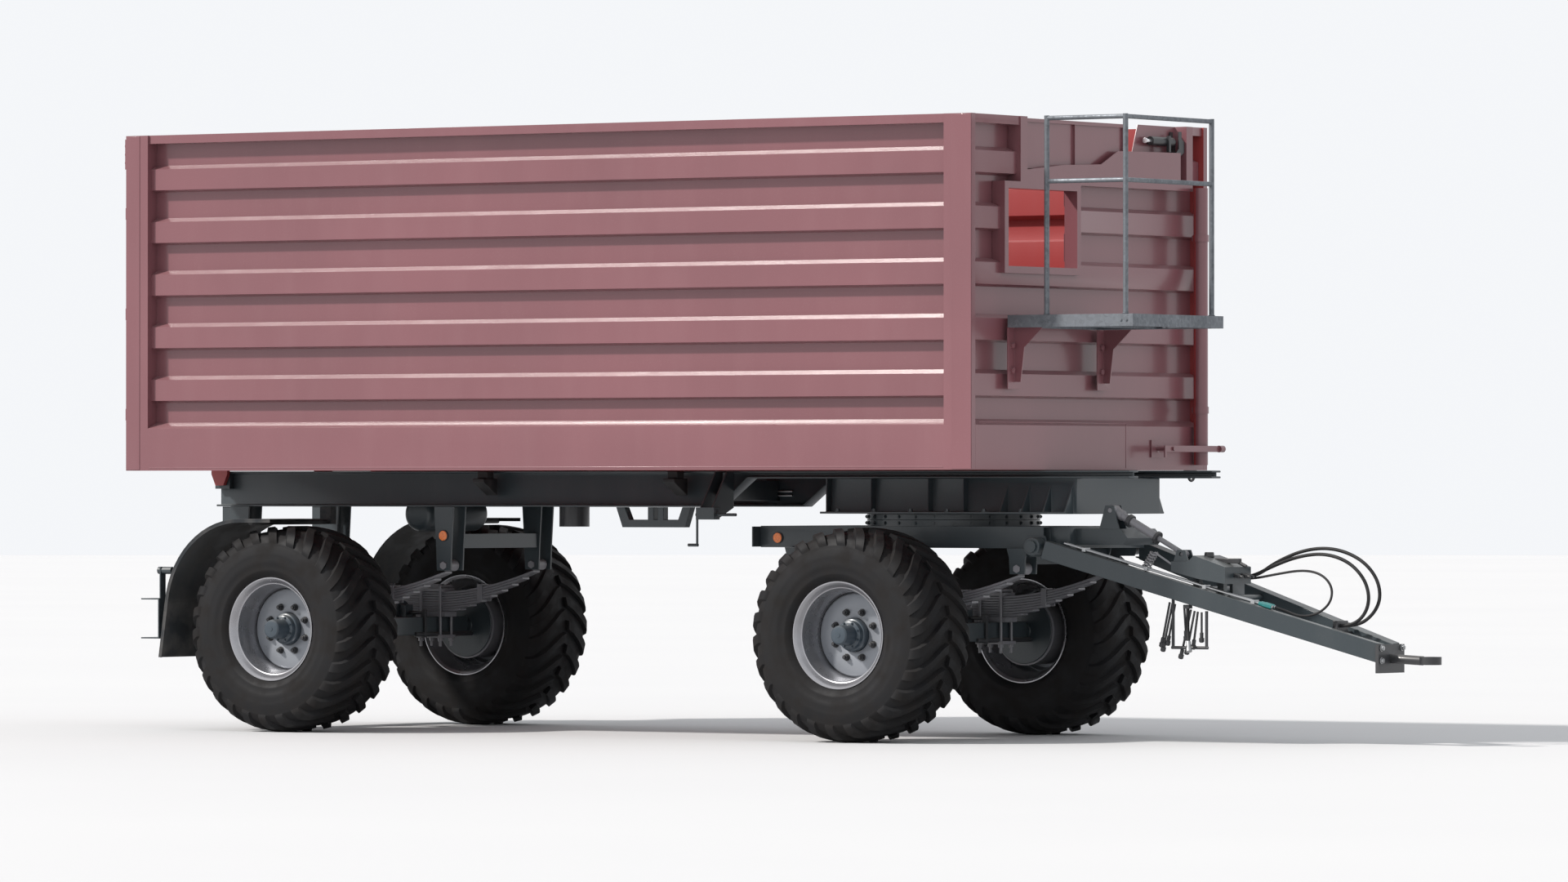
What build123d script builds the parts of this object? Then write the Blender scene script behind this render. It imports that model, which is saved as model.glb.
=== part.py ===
"""Two-axle grain cart: a tipping body on a turntable-steered drawbar chassis.

Own frame: +X towards the towing eye, +Y to the cart's left, +Z up, origin on the ground at the
middle of the cart's length and width. Millimetres.
"""
import os
from math import atan2, cos, pi, radians, sin, tan

from build123d import *

# ---------------------------------------------------------------- driving dimensions
BODY_L = 6000
BODY_W = 2550
BODY_H = 2000
BODY_BOTTOM = 1548
EYE_REACH = 2287            # towing eye's tip ahead of the body's front face
REAR_PROUD = 33             # tailgate fittings behind the body's rear face
SHEET = 3                   # wall sheet
WALL_DEPTH = 95             # depth of a ribbed wall, outer face to inner face
RIB_SET_BACK = 35           # rib face behind the post's face
RIB_PITCH = 314
RIB_FACE_H = 140
RIB_COUNT = 5
RIB_LOW = 413               # lowest rib's bottom edge above the body's bottom
SILL_H = 264
TOP_RAIL_H = 50
REAR_POST_W = 164
FRONT_POST_W = 186
FLOOR_UP = 120              # floor sheet's underside above the body's bottom
FLOOR_T = 4

TYRE_D = 1220
TYRE_W = 550
RIM_FLANGE_R = 306
RIM_SEAT_R = 286
RIM_WELL_R = 252
RIM_W = 480
RIM_T = 8
DISC_IN = 175               # wheel disc's outer face inside the rim's outer flange
STUD_PCD = 275
STUD_COUNT = 8
HUB_R = 95
CAP_R = 58
DRUM_R = 200
TRACK = 1950                # between tyre centre planes
SPINDLE_R = 45
RUN_GAP = 0.05              # radial running clearance of every pin and spindle

RAIL_Y = 450                # chassis rail's web from the centre line
RAIL_TOP = BODY_BOTTOM - 3
RAIL_BOTTOM = 1334
RAIL_FLANGE_W = 100
RAIL_FLANGE_T = 12
RAIL_WEB_T = 10
RAIL_NOSE_BOTTOM = 1500     # underside of the shallow front stretch
RING_R = 500
RING_TOP = 1297
RING_BOTTOM = 1226
BOGIE_BOTTOM = 1102

SPRING_HALF = 760           # axle to spring eye
SPRING_EYE_Z = 985
SPRING_LEAVES = 8
LEAF_T = 15
LEAF_W = 90
AXLE_SIDE = 110

HINGE_PIN_R = 25
HINGE_BEHIND = 5870         # tipping hinge behind the body's front face
HINGE_Z = 1500
RAM_BEHIND = 3620
RAM_TRUNNION_Z = 1420
RAM_EYE_Z = 1622
RAM_BOTTOM = 1215
RAM_R = 90
RAM_WALL = 6
RAM_STEP = 7                # each stage's radius is this much smaller
RAM_STAGES = 5

DRAWBAR_PIVOT_AHEAD = -50   # drawbar pivot ahead of the body's front face
DRAWBAR_PIVOT_Z = 1113
DRAWBAR_PIVOT_Y = 530
DRAWBAR_NOSE_AHEAD = 1950
DRAWBAR_NOSE_Z = 521
DRAWBAR_NOSE_Y = 85
DRAWBAR_BEAM_H = 105
DRAWBAR_BEAM_W = 80
PIVOT_PIN_R = 20
EYE_BORE_R = 25
EYE_R = 62
EYE_T = 45

# ---------------------------------------------------------------- stations in the own frame
FRONT = (BODY_L + EYE_REACH + REAR_PROUD) / 2 - EYE_REACH
REAR = FRONT - BODY_L
FRONT_AXLE = FRONT - 939
REAR_AXLE = FRONT - 4965
HALF_W = BODY_W / 2
TOP = BODY_BOTTOM + BODY_H
FLOOR_UNDER = BODY_BOTTOM + FLOOR_UP
WHEEL_Y = TRACK / 2
AXLE_Z = TYRE_D / 2
HINGE_X = FRONT - HINGE_BEHIND
RAM_X = FRONT - RAM_BEHIND
PIVOT_X = FRONT + DRAWBAR_PIVOT_AHEAD
NOSE_X = FRONT + DRAWBAR_NOSE_AHEAD
RAIL_END = FRONT - 5915
RAIL_NOSE = FRONT + 560
SLOPE_LOW = FRONT - 2253
SLOPE_HIGH = FRONT - 2038

NOTCH_Y = (-680, 1050)
NOTCH_LOW = BODY_BOTTOM + 1672
WINDOW_Y = (-880, -150)
WINDOW_Z = (BODY_BOTTOM + 1150, BODY_BOTTOM + 1590)
FRAME_DEPTH = 90
FLAP_X = FRONT - 40
FLAP_Z = NOTCH_LOW + 16
FLAP_ROD_R = 8
FLAP_LUGS = (-640, -140, 360)
FLAP_Y = (-672, 400)
LOCK_X = FRONT - 50
LOCK_Z = TOP - 92
LOCK_Y = (720, 960)
PLATFORM_X = (FRONT + 1, FRONT + 830)
PLATFORM_Y = (-900, 80)
PLATFORM_TOP = BODY_BOTTOM + 872
PLATFORM_EDGE_H = 70
RAILING_R = 15
RAILING_TOP = TOP - 8
RAILING_MID = BODY_BOTTOM + 1622
RAILING_FEET = ((FRONT + 250, -880), (FRONT + 770, -880), (FRONT + 770, 50))
LEVER_X = FRONT + 119
LEVER_Y = 700
LEVER_Z = BODY_BOTTOM + 124
TAILGATE_PIN_R = 14
TAILGATE_HINGE_X = REAR + 34
TAILGATE_HINGE_Z = TOP - 40
SLIDE_W = 520
SLIDE_H = 420
SLIDE_LIFT = 330
LIGHT_BAR_X = (FRONT - 5920, FRONT - 5785)
LIGHT_BAR_Z = (546, 787)
CRANK_X = FRONT - 2263
CRANK_Y = -RAIL_Y - 240
CRANK_Z = 1290
STRUT_Y = -300
STRUT_TOP_X = FRONT + 335
STRUT_TOP_Z = 1318
STRUT_FOOT_X = FRONT + 800
STRUT_FOOT_Z = 1072
PIPE_END_X = FRONT + 1341
HANG_X = FRONT + 842
HANG_Y = -330
HANG_Z = 765
HOSE_OUTER = [(966, 62, 940), (1050, 62, 940), (1195, 57, 1030), (1390, 50, 1100), (1580, 42, 1108),
              (1752, 36, 1050), (1860, 30, 950), (1892, 26, 835), (1850, 24, 742), (1750, 24, 672),
              (1660, 24, 672)]
HOSE_INNER = [(966, 20, 940), (1050, 20, 940), (1195, 12, 1005), (1375, 2, 1062), (1550, -6, 1078),
              (1705, -12, 1032), (1805, -16, 942), (1842, -20, 848), (1832, -22, 768), (1786, -25, 704),
              (1714, -26, 672), (1660, -26, 672)]
HOSE_SMALL = [(966, -25, 930), (1080, -25, 930), (1250, -34, 960), (1430, -48, 985), (1560, -62, 962),
              (1640, -80, 890), (1640, -100, 800), (1570, -130, 735), (1475, -160, 722),
              (1401, -193.2, 756), (1341, -206.5, 773.8)]
HOSE_HANGING = [(842, -330, 765), (842, -330, 700), (850, -345, 640), (868, -366, 580)]
HOSE_R = 10
SMALL_R = 7


# ---------------------------------------------------------------- helpers
def block(x, y, z):
    """Box between a low and a high value on each axis."""
    middle = Pos((x[0] + x[1]) / 2, (y[0] + y[1]) / 2, (z[0] + z[1]) / 2)
    return middle * Box(x[1] - x[0], y[1] - y[0], z[1] - z[0])


def rod(start, end, radius):
    """Round bar from one point to another."""
    a, b = Vector(*start), Vector(*end)
    return Plane(origin=(a + b) / 2, z_dir=b - a).location * Cylinder(radius, (b - a).length)


def rod_y(x, z, y, radius):
    """Round bar along Y between two values of y."""
    return rod((x, y[0], z), (x, y[1], z), radius)


def plate_xz(points, y):
    """Outline of (x, z) points, thick from y[0] to y[1]."""
    face = make_face(Polyline(*[(px, y[0], pz) for px, pz in points], close=True))
    return extrude(face, amount=y[1] - y[0], dir=(0, 1, 0))


def plate_yz(points, x):
    """Outline of (y, z) points, thick from x[0] to x[1]."""
    face = make_face(Polyline(*[(x[0], py, pz) for py, pz in points], close=True))
    return extrude(face, amount=x[1] - x[0], dir=(1, 0, 0))


def box_tube(x, y, z, wall, along):
    """Rectangular tube, open at both ends along one axis: 0 for X, 1 for Y, 2 for Z."""
    sides = [list(x), list(y), list(z)]
    inner = [[low + wall, high - wall] for low, high in sides]
    inner[along] = [sides[along][0] - 1, sides[along][1] + 1]
    return block(*sides) - block(*inner)


def folded(points, thickness):
    """Closed outline of a bent sheet: the given line and its offset to the left."""
    shifted = []
    count = len(points)
    for i, (px, py) in enumerate(points):
        before = points[max(i - 1, 0)]
        after = points[min(i + 1, count - 1)]
        a = atan2(py - before[1], px - before[0]) if i else None
        b = atan2(after[1] - py, after[0] - px) if i < count - 1 else None
        a = b if a is None else a
        b = a if b is None else b
        mid = (a + b) / 2 if abs(a - b) < pi else (a + b) / 2 + pi
        reach = thickness / abs(cos((a - b) / 2))
        shifted.append((px - reach * sin(mid), py + reach * cos(mid)))
    return list(points) + shifted[::-1]


def weld(pieces):
    """One solid out of pieces that overlap or share faces."""
    joined = pieces[0]
    for piece in pieces[1:]:
        joined = joined + piece
    return joined


def both(piece):
    """The piece and its mirror image across the centre line."""
    return [piece, mirror(piece, about=Plane.XZ)]


def save(name, *pieces):
    """Write one node."""
    solids = [solid for piece in pieces for solid in piece.solids()]
    export_step(Compound(children=solids), f"parts/{name}.step")


# ---------------------------------------------------------------- body walls
def wall_line():
    """Ribbed section as (depth behind the post's face, height above the body's bottom)."""
    rib, web = RIB_SET_BACK, WALL_DEPTH - SHEET
    line = [(0, 0), (0, SILL_H - 12), (web, SILL_H + 22)]
    for i in range(RIB_COUNT):
        low = RIB_LOW + i * RIB_PITCH
        high = low + RIB_FACE_H
        line += [(web, low - 8), (rib, low + 4), (rib, high - 12), (web, high + 12)]
    line.append((web, BODY_H - TOP_RAIL_H + 4))
    return line


def side_wall():
    """Left side wall with its posts, sill and top rail."""
    front_inner = FRONT - FRONT_POST_W
    rear_inner = REAR + REAR_POST_W
    inner = HALF_W - WALL_DEPTH
    section = folded([(HALF_W - d, BODY_BOTTOM + h) for d, h in wall_line()], SHEET)
    panel = plate_yz(section, (rear_inner - 1, front_inner + 1))
    top_rail = block((rear_inner, front_inner), (inner, HALF_W - 13),
                     (TOP - TOP_RAIL_H, TOP - TOP_RAIL_H + SHEET))
    top_rail += block((rear_inner, front_inner), (HALF_W - 16, HALF_W - 13), (TOP - TOP_RAIL_H, TOP))
    top_rail += block((rear_inner, front_inner), (inner, HALF_W - 13), (TOP - SHEET, TOP))
    top_rail += block((rear_inner, front_inner), (inner, inner + SHEET), (TOP - TOP_RAIL_H, TOP))
    rear_post = box_tube((REAR, rear_inner), (inner, HALF_W), (BODY_BOTTOM, TOP), 4, 2)
    rear_post += block((REAR, rear_inner), (inner, HALF_W), (TOP - 4, TOP))
    rear_post -= rod_y(TAILGATE_HINGE_X, TAILGATE_HINGE_Z, (inner - 1, inner + 5), TAILGATE_PIN_R + RUN_GAP)
    shoulder = FRONT - WALL_DEPTH
    front_post = box_tube((front_inner, shoulder), (inner, HALF_W), (BODY_BOTTOM, TOP), 4, 2)
    front_post += box_tube((shoulder - 4, FRONT), (HALF_W - 40, HALF_W), (BODY_BOTTOM, TOP), 4, 2)
    front_post += block((front_inner, shoulder), (inner, HALF_W), (TOP - 4, TOP))
    front_post += block((shoulder - 4, FRONT), (HALF_W - 40, HALF_W), (TOP - 4, TOP))
    return weld([panel, top_rail, rear_post, front_post])


def front_wall():
    """Ribbed front wall with the upper notch, the look-through window and their frames."""
    half = HALF_W - 41
    section = folded([(FRONT - d, BODY_BOTTOM + h) for d, h in wall_line()], SHEET)
    wall = plate_xz(section, (-half, half))
    wall -= block((FRONT - 200, FRONT + 50), NOTCH_Y, (NOTCH_LOW, TOP + 50))
    wall -= block((FRONT - 200, FRONT + 50), WINDOW_Y, WINDOW_Z)
    depth = (FRONT - FRAME_DEPTH, FRONT - 4)
    frame = [
        block(depth, (NOTCH_Y[0] - 73, NOTCH_Y[0]), (NOTCH_LOW - 48, TOP)),
        block(depth, (NOTCH_Y[1], NOTCH_Y[1] + 70), (NOTCH_LOW - 48, TOP)),
        block(depth, (NOTCH_Y[0], NOTCH_Y[1]), (NOTCH_LOW - 48, NOTCH_LOW)),
    ]
    hollow = [
        block((depth[0] - 1, depth[1] - 4), (NOTCH_Y[0] - 69, NOTCH_Y[0] - 4), (NOTCH_LOW - 44, TOP - 4)),
        block((depth[0] - 1, depth[1] - 4), (NOTCH_Y[1] + 4, NOTCH_Y[1] + 66), (NOTCH_LOW - 44, TOP - 4)),
        block((depth[0] - 1, depth[1] - 4), (NOTCH_Y[0], NOTCH_Y[1]), (NOTCH_LOW - 44, NOTCH_LOW - 4)),
    ]
    edge = 40
    y0, y1 = WINDOW_Y
    z0, z1 = WINDOW_Z
    rim = block(depth, (y0 - edge, y1 + edge), (z0 - edge, z1 + edge)) - block(
        (depth[0] - 1, depth[1] + 1), WINDOW_Y, WINDOW_Z)
    rim -= block((depth[0] - 1, depth[1] - 4), (y0 - edge + 4, y1 + edge - 4),
                 (z0 - edge + 4, z1 + edge - 4)) - block(
        (depth[0] - 2, depth[1]), (y0 - 4, y1 + 4), (z0 - 4, z1 + 4))
    caps = [
        box_tube((FRONT - WALL_DEPTH, FRONT - 13), (-half, NOTCH_Y[0] - 73), (TOP - TOP_RAIL_H, TOP), 3, 1),
        box_tube((FRONT - WALL_DEPTH, FRONT - 13), (NOTCH_Y[1] + 70, half), (TOP - TOP_RAIL_H, TOP), 3, 1),
    ]
    wall = weld([wall] + frame)
    for space in hollow:
        wall -= space
    wall = weld([wall, rim] + caps)
    lip = [(NOTCH_Y[0], 0), (NOTCH_Y[0], 28), (-300, 64), (110, 80), (295, 162), (985, 172), (985, 0)]
    wall += plate_yz([(py, NOTCH_LOW + pz) for py, pz in lip], (FRONT - 10, FRONT - 4))
    end_panel = [(595, 0), (555, 100), (640, 328), (NOTCH_Y[1], 328), (NOTCH_Y[1], 0)]
    wall += plate_yz([(py, NOTCH_LOW + pz) for py, pz in end_panel],
                     (FRONT - FRAME_DEPTH, FRONT - FRAME_DEPTH + 4))
    for py in FLAP_LUGS:
        lug = block((FLAP_X - 14, FRONT - 10), (py - 5, py + 5), (NOTCH_LOW, FLAP_Z + 12))
        wall += lug - rod_y(FLAP_X, FLAP_Z, (py - 6, py + 6), FLAP_ROD_R + RUN_GAP)
    return wall


def front_flap():
    """Folding flap that closes the left part of the notch, on a rod along its lower edge."""
    low, high = FLAP_Z + 20, TOP - 8
    flap = block((FLAP_X - 6, FLAP_X - 3), FLAP_Y, (low, high))
    for z0 in (low, high - 20):
        flap += block((FLAP_X - 6, FLAP_X + 12), FLAP_Y, (z0, z0 + 3 if z0 == low else z0 + 20))
    for y0 in (FLAP_Y[0], (FLAP_Y[0] + FLAP_Y[1]) / 2, FLAP_Y[1] - 4):
        flap += block((FLAP_X - 6, FLAP_X + 12), (y0, y0 + 4), (low, high))
    flap += rod_y(FLAP_X, FLAP_Z, FLAP_Y, FLAP_ROD_R)
    for y0, y1 in ((-630, -150), (-130, 350)):
        flap += block((FLAP_X - 6, FLAP_X), (y0, y1), (FLAP_Z, low + 2))
    return flap


def flap_lock_cylinder():
    """Small cylinder on the fixed panel, lying across the cart."""
    body = rod_y(LOCK_X, LOCK_Z, LOCK_Y, 26)
    body -= rod_y(LOCK_X, LOCK_Z, (LOCK_Y[0] - 1, LOCK_Y[0] + 61), 12 + RUN_GAP)
    body += rod_y(LOCK_X, LOCK_Z, (LOCK_Y[1] - 1, LOCK_Y[1] + 20), 18)
    body += block((FRONT - FRAME_DEPTH + 4, LOCK_X - 10), (LOCK_Y[0] + 70, LOCK_Y[0] + 100),
                  (LOCK_Z - 20, LOCK_Z + 20))
    gusset = [(0, -40), (0, 60), (30, 60), (30, 20), (60, 0), (60, -60), (-40, -110), (-80, -110)]
    plates = []
    for x0 in (FRONT - 20, FRONT - 80):
        outline = [(LOCK_Y[1] + 22 + dy, LOCK_Z + dz) for dy, dz in gusset]
        plates.append(plate_yz(outline, (x0, x0 + 6)))
    post = box_tube((FRONT - 30, FRONT - 12), (870, 890), (NOTCH_LOW + 174, TOP - 60), 2, 2)
    return [body] + plates + [post]


def flap_lock_bolt():
    """Bolt that slides out of the lock cylinder towards the flap."""
    bolt = rod_y(LOCK_X, LOCK_Z, (LOCK_Y[0] - 60, LOCK_Y[0] + 40), 12)
    return bolt + rod_y(LOCK_X, LOCK_Z, (LOCK_Y[0] - 60, LOCK_Y[0] - 48), 16)


def body_floor():
    """Floor sheet on its welded underframe, with the tipping hinge lugs and the ram's fork."""
    inner = HALF_W - WALL_DEPTH - 1
    rear, front = REAR + 75, FRONT - WALL_DEPTH - 1
    pieces = [block((rear, front), (-inner, inner), (FLOOR_UNDER, FLOOR_UNDER + FLOOR_T))]
    for side in (-1, 1):
        y = sorted((side * 410, side * 490))
        pieces.append(box_tube((rear, front), y, (BODY_BOTTOM, FLOOR_UNDER), 5, 0))
        out = sorted((side * 490, side * inner))
        for i in range(11):
            x0 = rear + i * (front - rear - 60) / 10
            pieces.append(box_tube((x0, x0 + 60), out, (FLOOR_UNDER - 80, FLOOR_UNDER), 4, 1))
    for i in (0, 1, 3, 5, 7, 9, 10):
        x0 = rear + i * (front - rear - 60) / 10
        pieces.append(box_tube((x0, x0 + 60), (-410, 410), (FLOOR_UNDER - 80, FLOOR_UNDER), 4, 1))
    floor = weld(pieces)
    lug = [(-60, 0), (60, 0), (60, -20), (30, -88), (-30, -88), (-60, -20)]
    for piece in both(plate_xz([(HINGE_X + dx, BODY_BOTTOM + dz) for dx, dz in lug], (503, 530))):
        floor += piece
    for piece in both(block((HINGE_X - 60, HINGE_X + 60), (501, 530), (BODY_BOTTOM, FLOOR_UNDER - 79))):
        floor += piece
    for piece in both(rod_y(HINGE_X, HINGE_Z, (460, 529), HINGE_PIN_R)):
        floor += piece
    floor -= block((rear - 1, HINGE_X + 15), (-501, 501), (BODY_BOTTOM - 10, HINGE_Z + 68))
    bearer = (rear + 3 * (front - rear - 60) / 10 + 59, rear + 5 * (front - rear - 60) / 10 + 1)
    fork = [(-150, -50), (150, -50), (45, -80), (-45, -80)]
    for piece in both(block(bearer, (60, 72), (FLOOR_UNDER - 51, FLOOR_UNDER))):
        floor += piece
    for piece in both(plate_xz([(RAM_X + dx, FLOOR_UNDER + dz) for dx, dz in fork], (60, 72))):
        floor += piece
    return floor


# ---------------------------------------------------------------- platform


def platform_frame():
    """Edge channels of the service platform and its two brackets on the front wall."""
    x0, x1 = PLATFORM_X
    y0, y1 = PLATFORM_Y
    z = (PLATFORM_TOP - PLATFORM_EDGE_H, PLATFORM_TOP)
    sides = [
        block((x0, x1), (y0, y0 + 5), z), block((x0, x1), (y1 - 5, y1), z),
        block((x1 - 5, x1), (y0, y1), z), block((x0, x0 + 5), (y0, y1), z),
        block((x0, x1), (y0, y0 + 40), (z[0], z[0] + 5)), block((x0, x1), (y1 - 40, y1), (z[0], z[0] + 5)),
        block((x1 - 40, x1), (y0, y1), (z[0], z[0] + 5)),
        block((x0 + 400, x0 + 405), (y0, y1), (z[0], z[1] - 32)),
    ]
    for y_low in (-905, 50):
        z_low = BODY_BOTTOM + 455
        bracket = block((x0, x0 + 6), (y_low, y_low + 145), (z_low, z[0]))
        arm = plate_xz([(x0, z[0]), (x0, z_low + 40), (x0 + 45, z_low + 40), (x0 + 70, z[0] - 110),
                        (x0 + 190, z[0])], (y_low + 70, y_low + 78))
        sides += [bracket, arm]
    return weld(sides)


def platform_grating():
    """Open grating: bearing bars with cross bars."""
    x0, x1 = PLATFORM_X[0] + 6, PLATFORM_X[1] - 6
    y0, y1 = PLATFORM_Y[0] + 6, PLATFORM_Y[1] - 6
    count = 15
    bars = []
    for i in range(count):
        y = y0 + i * (y1 - y0 - 4) / (count - 1)
        bars.append(block((x0, x1), (y, y + 4), (PLATFORM_TOP - 30, PLATFORM_TOP)))
    for i in range(9):
        x = x0 + i * (x1 - x0 - 5) / 8
        bars.append(block((x, x + 5), (y0, y1), (PLATFORM_TOP - 15, PLATFORM_TOP - 5)))
    return weld(bars)


def platform_railing():
    """Three posts with a middle and a top rail on two sides."""
    pieces = []
    for x, y in RAILING_FEET:
        pieces.append(rod((x, y, PLATFORM_TOP + 1), (x, y, RAILING_TOP), RAILING_R))
    for z in (RAILING_MID, RAILING_TOP - RAILING_R):
        for a, b in zip(RAILING_FEET, RAILING_FEET[1:]):
            pieces.append(rod((a[0], a[1], z), (b[0], b[1], z), RAILING_R - 2))
    return weld(pieces)


def corner_tube():
    """Upright tube in front of the wall at its left, with collars and holding straps."""
    x, y = FRONT + 48, 1124
    pieces = [rod((x, y, BODY_BOTTOM + 30), (x, y, NOTCH_LOW - 30), 42)]
    pieces[0] -= rod((x, y, BODY_BOTTOM + 29), (x, y, NOTCH_LOW - 29), 37)
    for z in (BODY_BOTTOM + 330, BODY_BOTTOM + 830, BODY_BOTTOM + 1330):
        collar = rod((x, y, z), (x, y, z + 40), 47) - rod((x, y, z - 1), (x, y, z + 41), 40)
        pieces.append(collar)
        pieces.append(block((FRONT + 1, x - 40), (y - 25, y + 25), (z + 5, z + 35)))
    return pieces


def lever_bracket():
    """Stub that carries the lock lever's pivot."""
    stub = rod((FRONT + 1, LEVER_Y, LEVER_Z), (LEVER_X + 10, LEVER_Y, LEVER_Z), 12)
    return stub + block((FRONT + 1, FRONT + 9), (LEVER_Y - 60, LEVER_Y + 60), (LEVER_Z - 50, LEVER_Z + 50))


def lock_lever():
    """Lever on the front wall with a round knob at its free end."""
    bar = block((LEVER_X - 8, LEVER_X), (LEVER_Y - 90, 1215), (LEVER_Z - 18, LEVER_Z + 18))
    bar -= rod((LEVER_X - 20, LEVER_Y, LEVER_Z), (LEVER_X + 20, LEVER_Y, LEVER_Z), 12 + RUN_GAP)
    knob = rod((LEVER_X - 4, 1214, LEVER_Z), (LEVER_X - 4, 1262, LEVER_Z), 20)
    return bar + knob + block((LEVER_X - 8, LEVER_X), (LEVER_Y - 90, LEVER_Y - 70), (LEVER_Z - 50, LEVER_Z))


# ---------------------------------------------------------------- tailgate


def tailgate():
    """Top-hung tailgate with a frame, upright ribs and the outlet for grain."""
    half = HALF_W - WALL_DEPTH - 6
    low, high = BODY_BOTTOM + 40, TOP - 8
    x = (REAR + 4, REAR + 64)
    skin = block((x[1] - 4, x[1]), (-half, half), (low, high))
    frame = [
        box_tube(x, (-half, -half + 70), (low, high), 4, 2),
        box_tube(x, (half - 70, half), (low, high), 4, 2),
        box_tube(x, (-half, half), (low, low + 70), 4, 1),
        box_tube(x, (-half, half), (high - 70, high), 4, 1),
        box_tube(x, (-half, half), (low + 560, low + 620), 4, 1),
    ]
    for y in (-700, -320, 260, 640):
        frame.append(box_tube(x, (y, y + 60), (low + 60, high - 60), 4, 2))
    gate = weld([skin] + frame)
    gate -= block((x[0] - 10, x[1] + 10), (-SLIDE_W / 2 + 25, SLIDE_W / 2 - 25), (low + 70, low + 440))
    for side in both(block((x[0] - 22, x[0] + 1), (SLIDE_W / 2 + 1, SLIDE_W / 2 + 31),
                           (low + 60, low + 840))):
        gate += side
    for side in both(block((x[0] - 22, x[0] - 17), (SLIDE_W / 2 - 15, SLIDE_W / 2 + 31),
                           (low + 60, low + 840))):
        gate += side
    for side in both(rod_y(TAILGATE_HINGE_X, TAILGATE_HINGE_Z, (half - 1, HALF_W - WALL_DEPTH + 3),
                           TAILGATE_PIN_R)):
        gate += side
    return gate


def grain_slide():
    """Shutter over the tailgate's outlet, with a pull handle."""
    low = BODY_BOTTOM + 105
    x0 = REAR + 4 - 16
    plate = block((x0, x0 + 14), (-SLIDE_W / 2, SLIDE_W / 2), (low, low + SLIDE_H))
    plate -= block((x0 - 1, x0 + 9), (-SLIDE_W / 2 + 20, SLIDE_W / 2 - 20), (low + 20, low + SLIDE_H - 20))
    grip = rod_y(x0 - 12, low + SLIDE_H - 60, (-80, 80), 9)
    for side in both(block((x0 - 20, x0 + 12), (70, 84), (low + SLIDE_H - 70, low + SLIDE_H - 50))):
        grip += side
    return plate + grip


# ---------------------------------------------------------------- chassis
def frame_rail():
    """Left chassis rail: an I-section that turns shallow over the turntable."""
    under = [(RAIL_END, RAIL_BOTTOM), (SLOPE_LOW, RAIL_BOTTOM), (SLOPE_HIGH, RAIL_NOSE_BOTTOM),
             (RAIL_NOSE, RAIL_NOSE_BOTTOM)]
    web = plate_xz(under + [(RAIL_NOSE, RAIL_TOP), (RAIL_END, RAIL_TOP)],
                   (RAIL_Y - RAIL_WEB_T / 2, RAIL_Y + RAIL_WEB_T / 2))
    wide = (RAIL_Y - RAIL_FLANGE_W / 2, RAIL_Y + RAIL_FLANGE_W / 2)
    top = block((RAIL_END, RAIL_NOSE), wide, (RAIL_TOP - RAIL_FLANGE_T, RAIL_TOP))
    bottom = plate_xz(folded(under, RAIL_FLANGE_T), wide)
    return weld([web, top, bottom])


def frame_cross_members():
    """Tubes between the rails and the bearing blocks of the tipping hinge."""
    pieces = []
    half = RAIL_Y - RAIL_WEB_T / 2
    for behind in (5700, 4965, 4240, 3900, 3340, 2500):
        x = FRONT - behind
        pieces.append(box_tube((x - 50, x + 50), (-half, half), (1370, 1490), 6, 1))
    inner = RAIL_Y + RAIL_WEB_T / 2
    bearing = block((HINGE_X - 55, HINGE_X + 55), (inner, 499), (HINGE_Z - 60, RAIL_TOP - RAIL_FLANGE_T))
    bearing -= rod_y(HINGE_X, HINGE_Z, (inner - 1, 500), HINGE_PIN_R + RUN_GAP)
    return pieces + both(bearing)


def turntable_support():
    """Box under the rails' front stretch, with stiffeners, gussets and the upper slewing ring."""
    x0, x1 = FRONT - 1510, FRONT + 180
    z0, z1 = RING_TOP + 12, RAIL_NOSE_BOTTOM
    pieces = [block((x0, FRONT + 155), (-540, 540), (RING_TOP, z0)),
              block((x0, x1), (-450, 450), (RING_TOP, z0))]
    pieces += both(block((x0, x1), (440, 450), (z0, z1)))
    pieces += [block((x0, x0 + 10), (-450, 450), (z0, z1)), block((x1 - 10, x1), (-450, 450), (z0, z1))]
    for ahead in (-1495, -1190, -800, -560):
        pieces += both(block((FRONT + ahead, FRONT + ahead + 10), (440, 500), (z0, z1)))
    for i in range(4):
        x = FRONT - 290 + i * 145
        pieces += both(plate_yz([(449, z0), (535, z0), (449, z1 - 35)], (x, x + 10)))
    for cross in (-939 - 300, -939, -939 + 300):
        pieces.append(block((FRONT + cross - 5, FRONT + cross + 5), (-450, 450), (z0, z1)))
    ring = rod((FRONT_AXLE, 0, (RING_TOP + RING_BOTTOM) / 2 + 0.5), (FRONT_AXLE, 0, RING_TOP), RING_R)
    ring -= rod((FRONT_AXLE, 0, RING_BOTTOM - 1), (FRONT_AXLE, 0, RING_TOP + 1), RING_R - 60)
    return [weld(pieces), ring]


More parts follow.
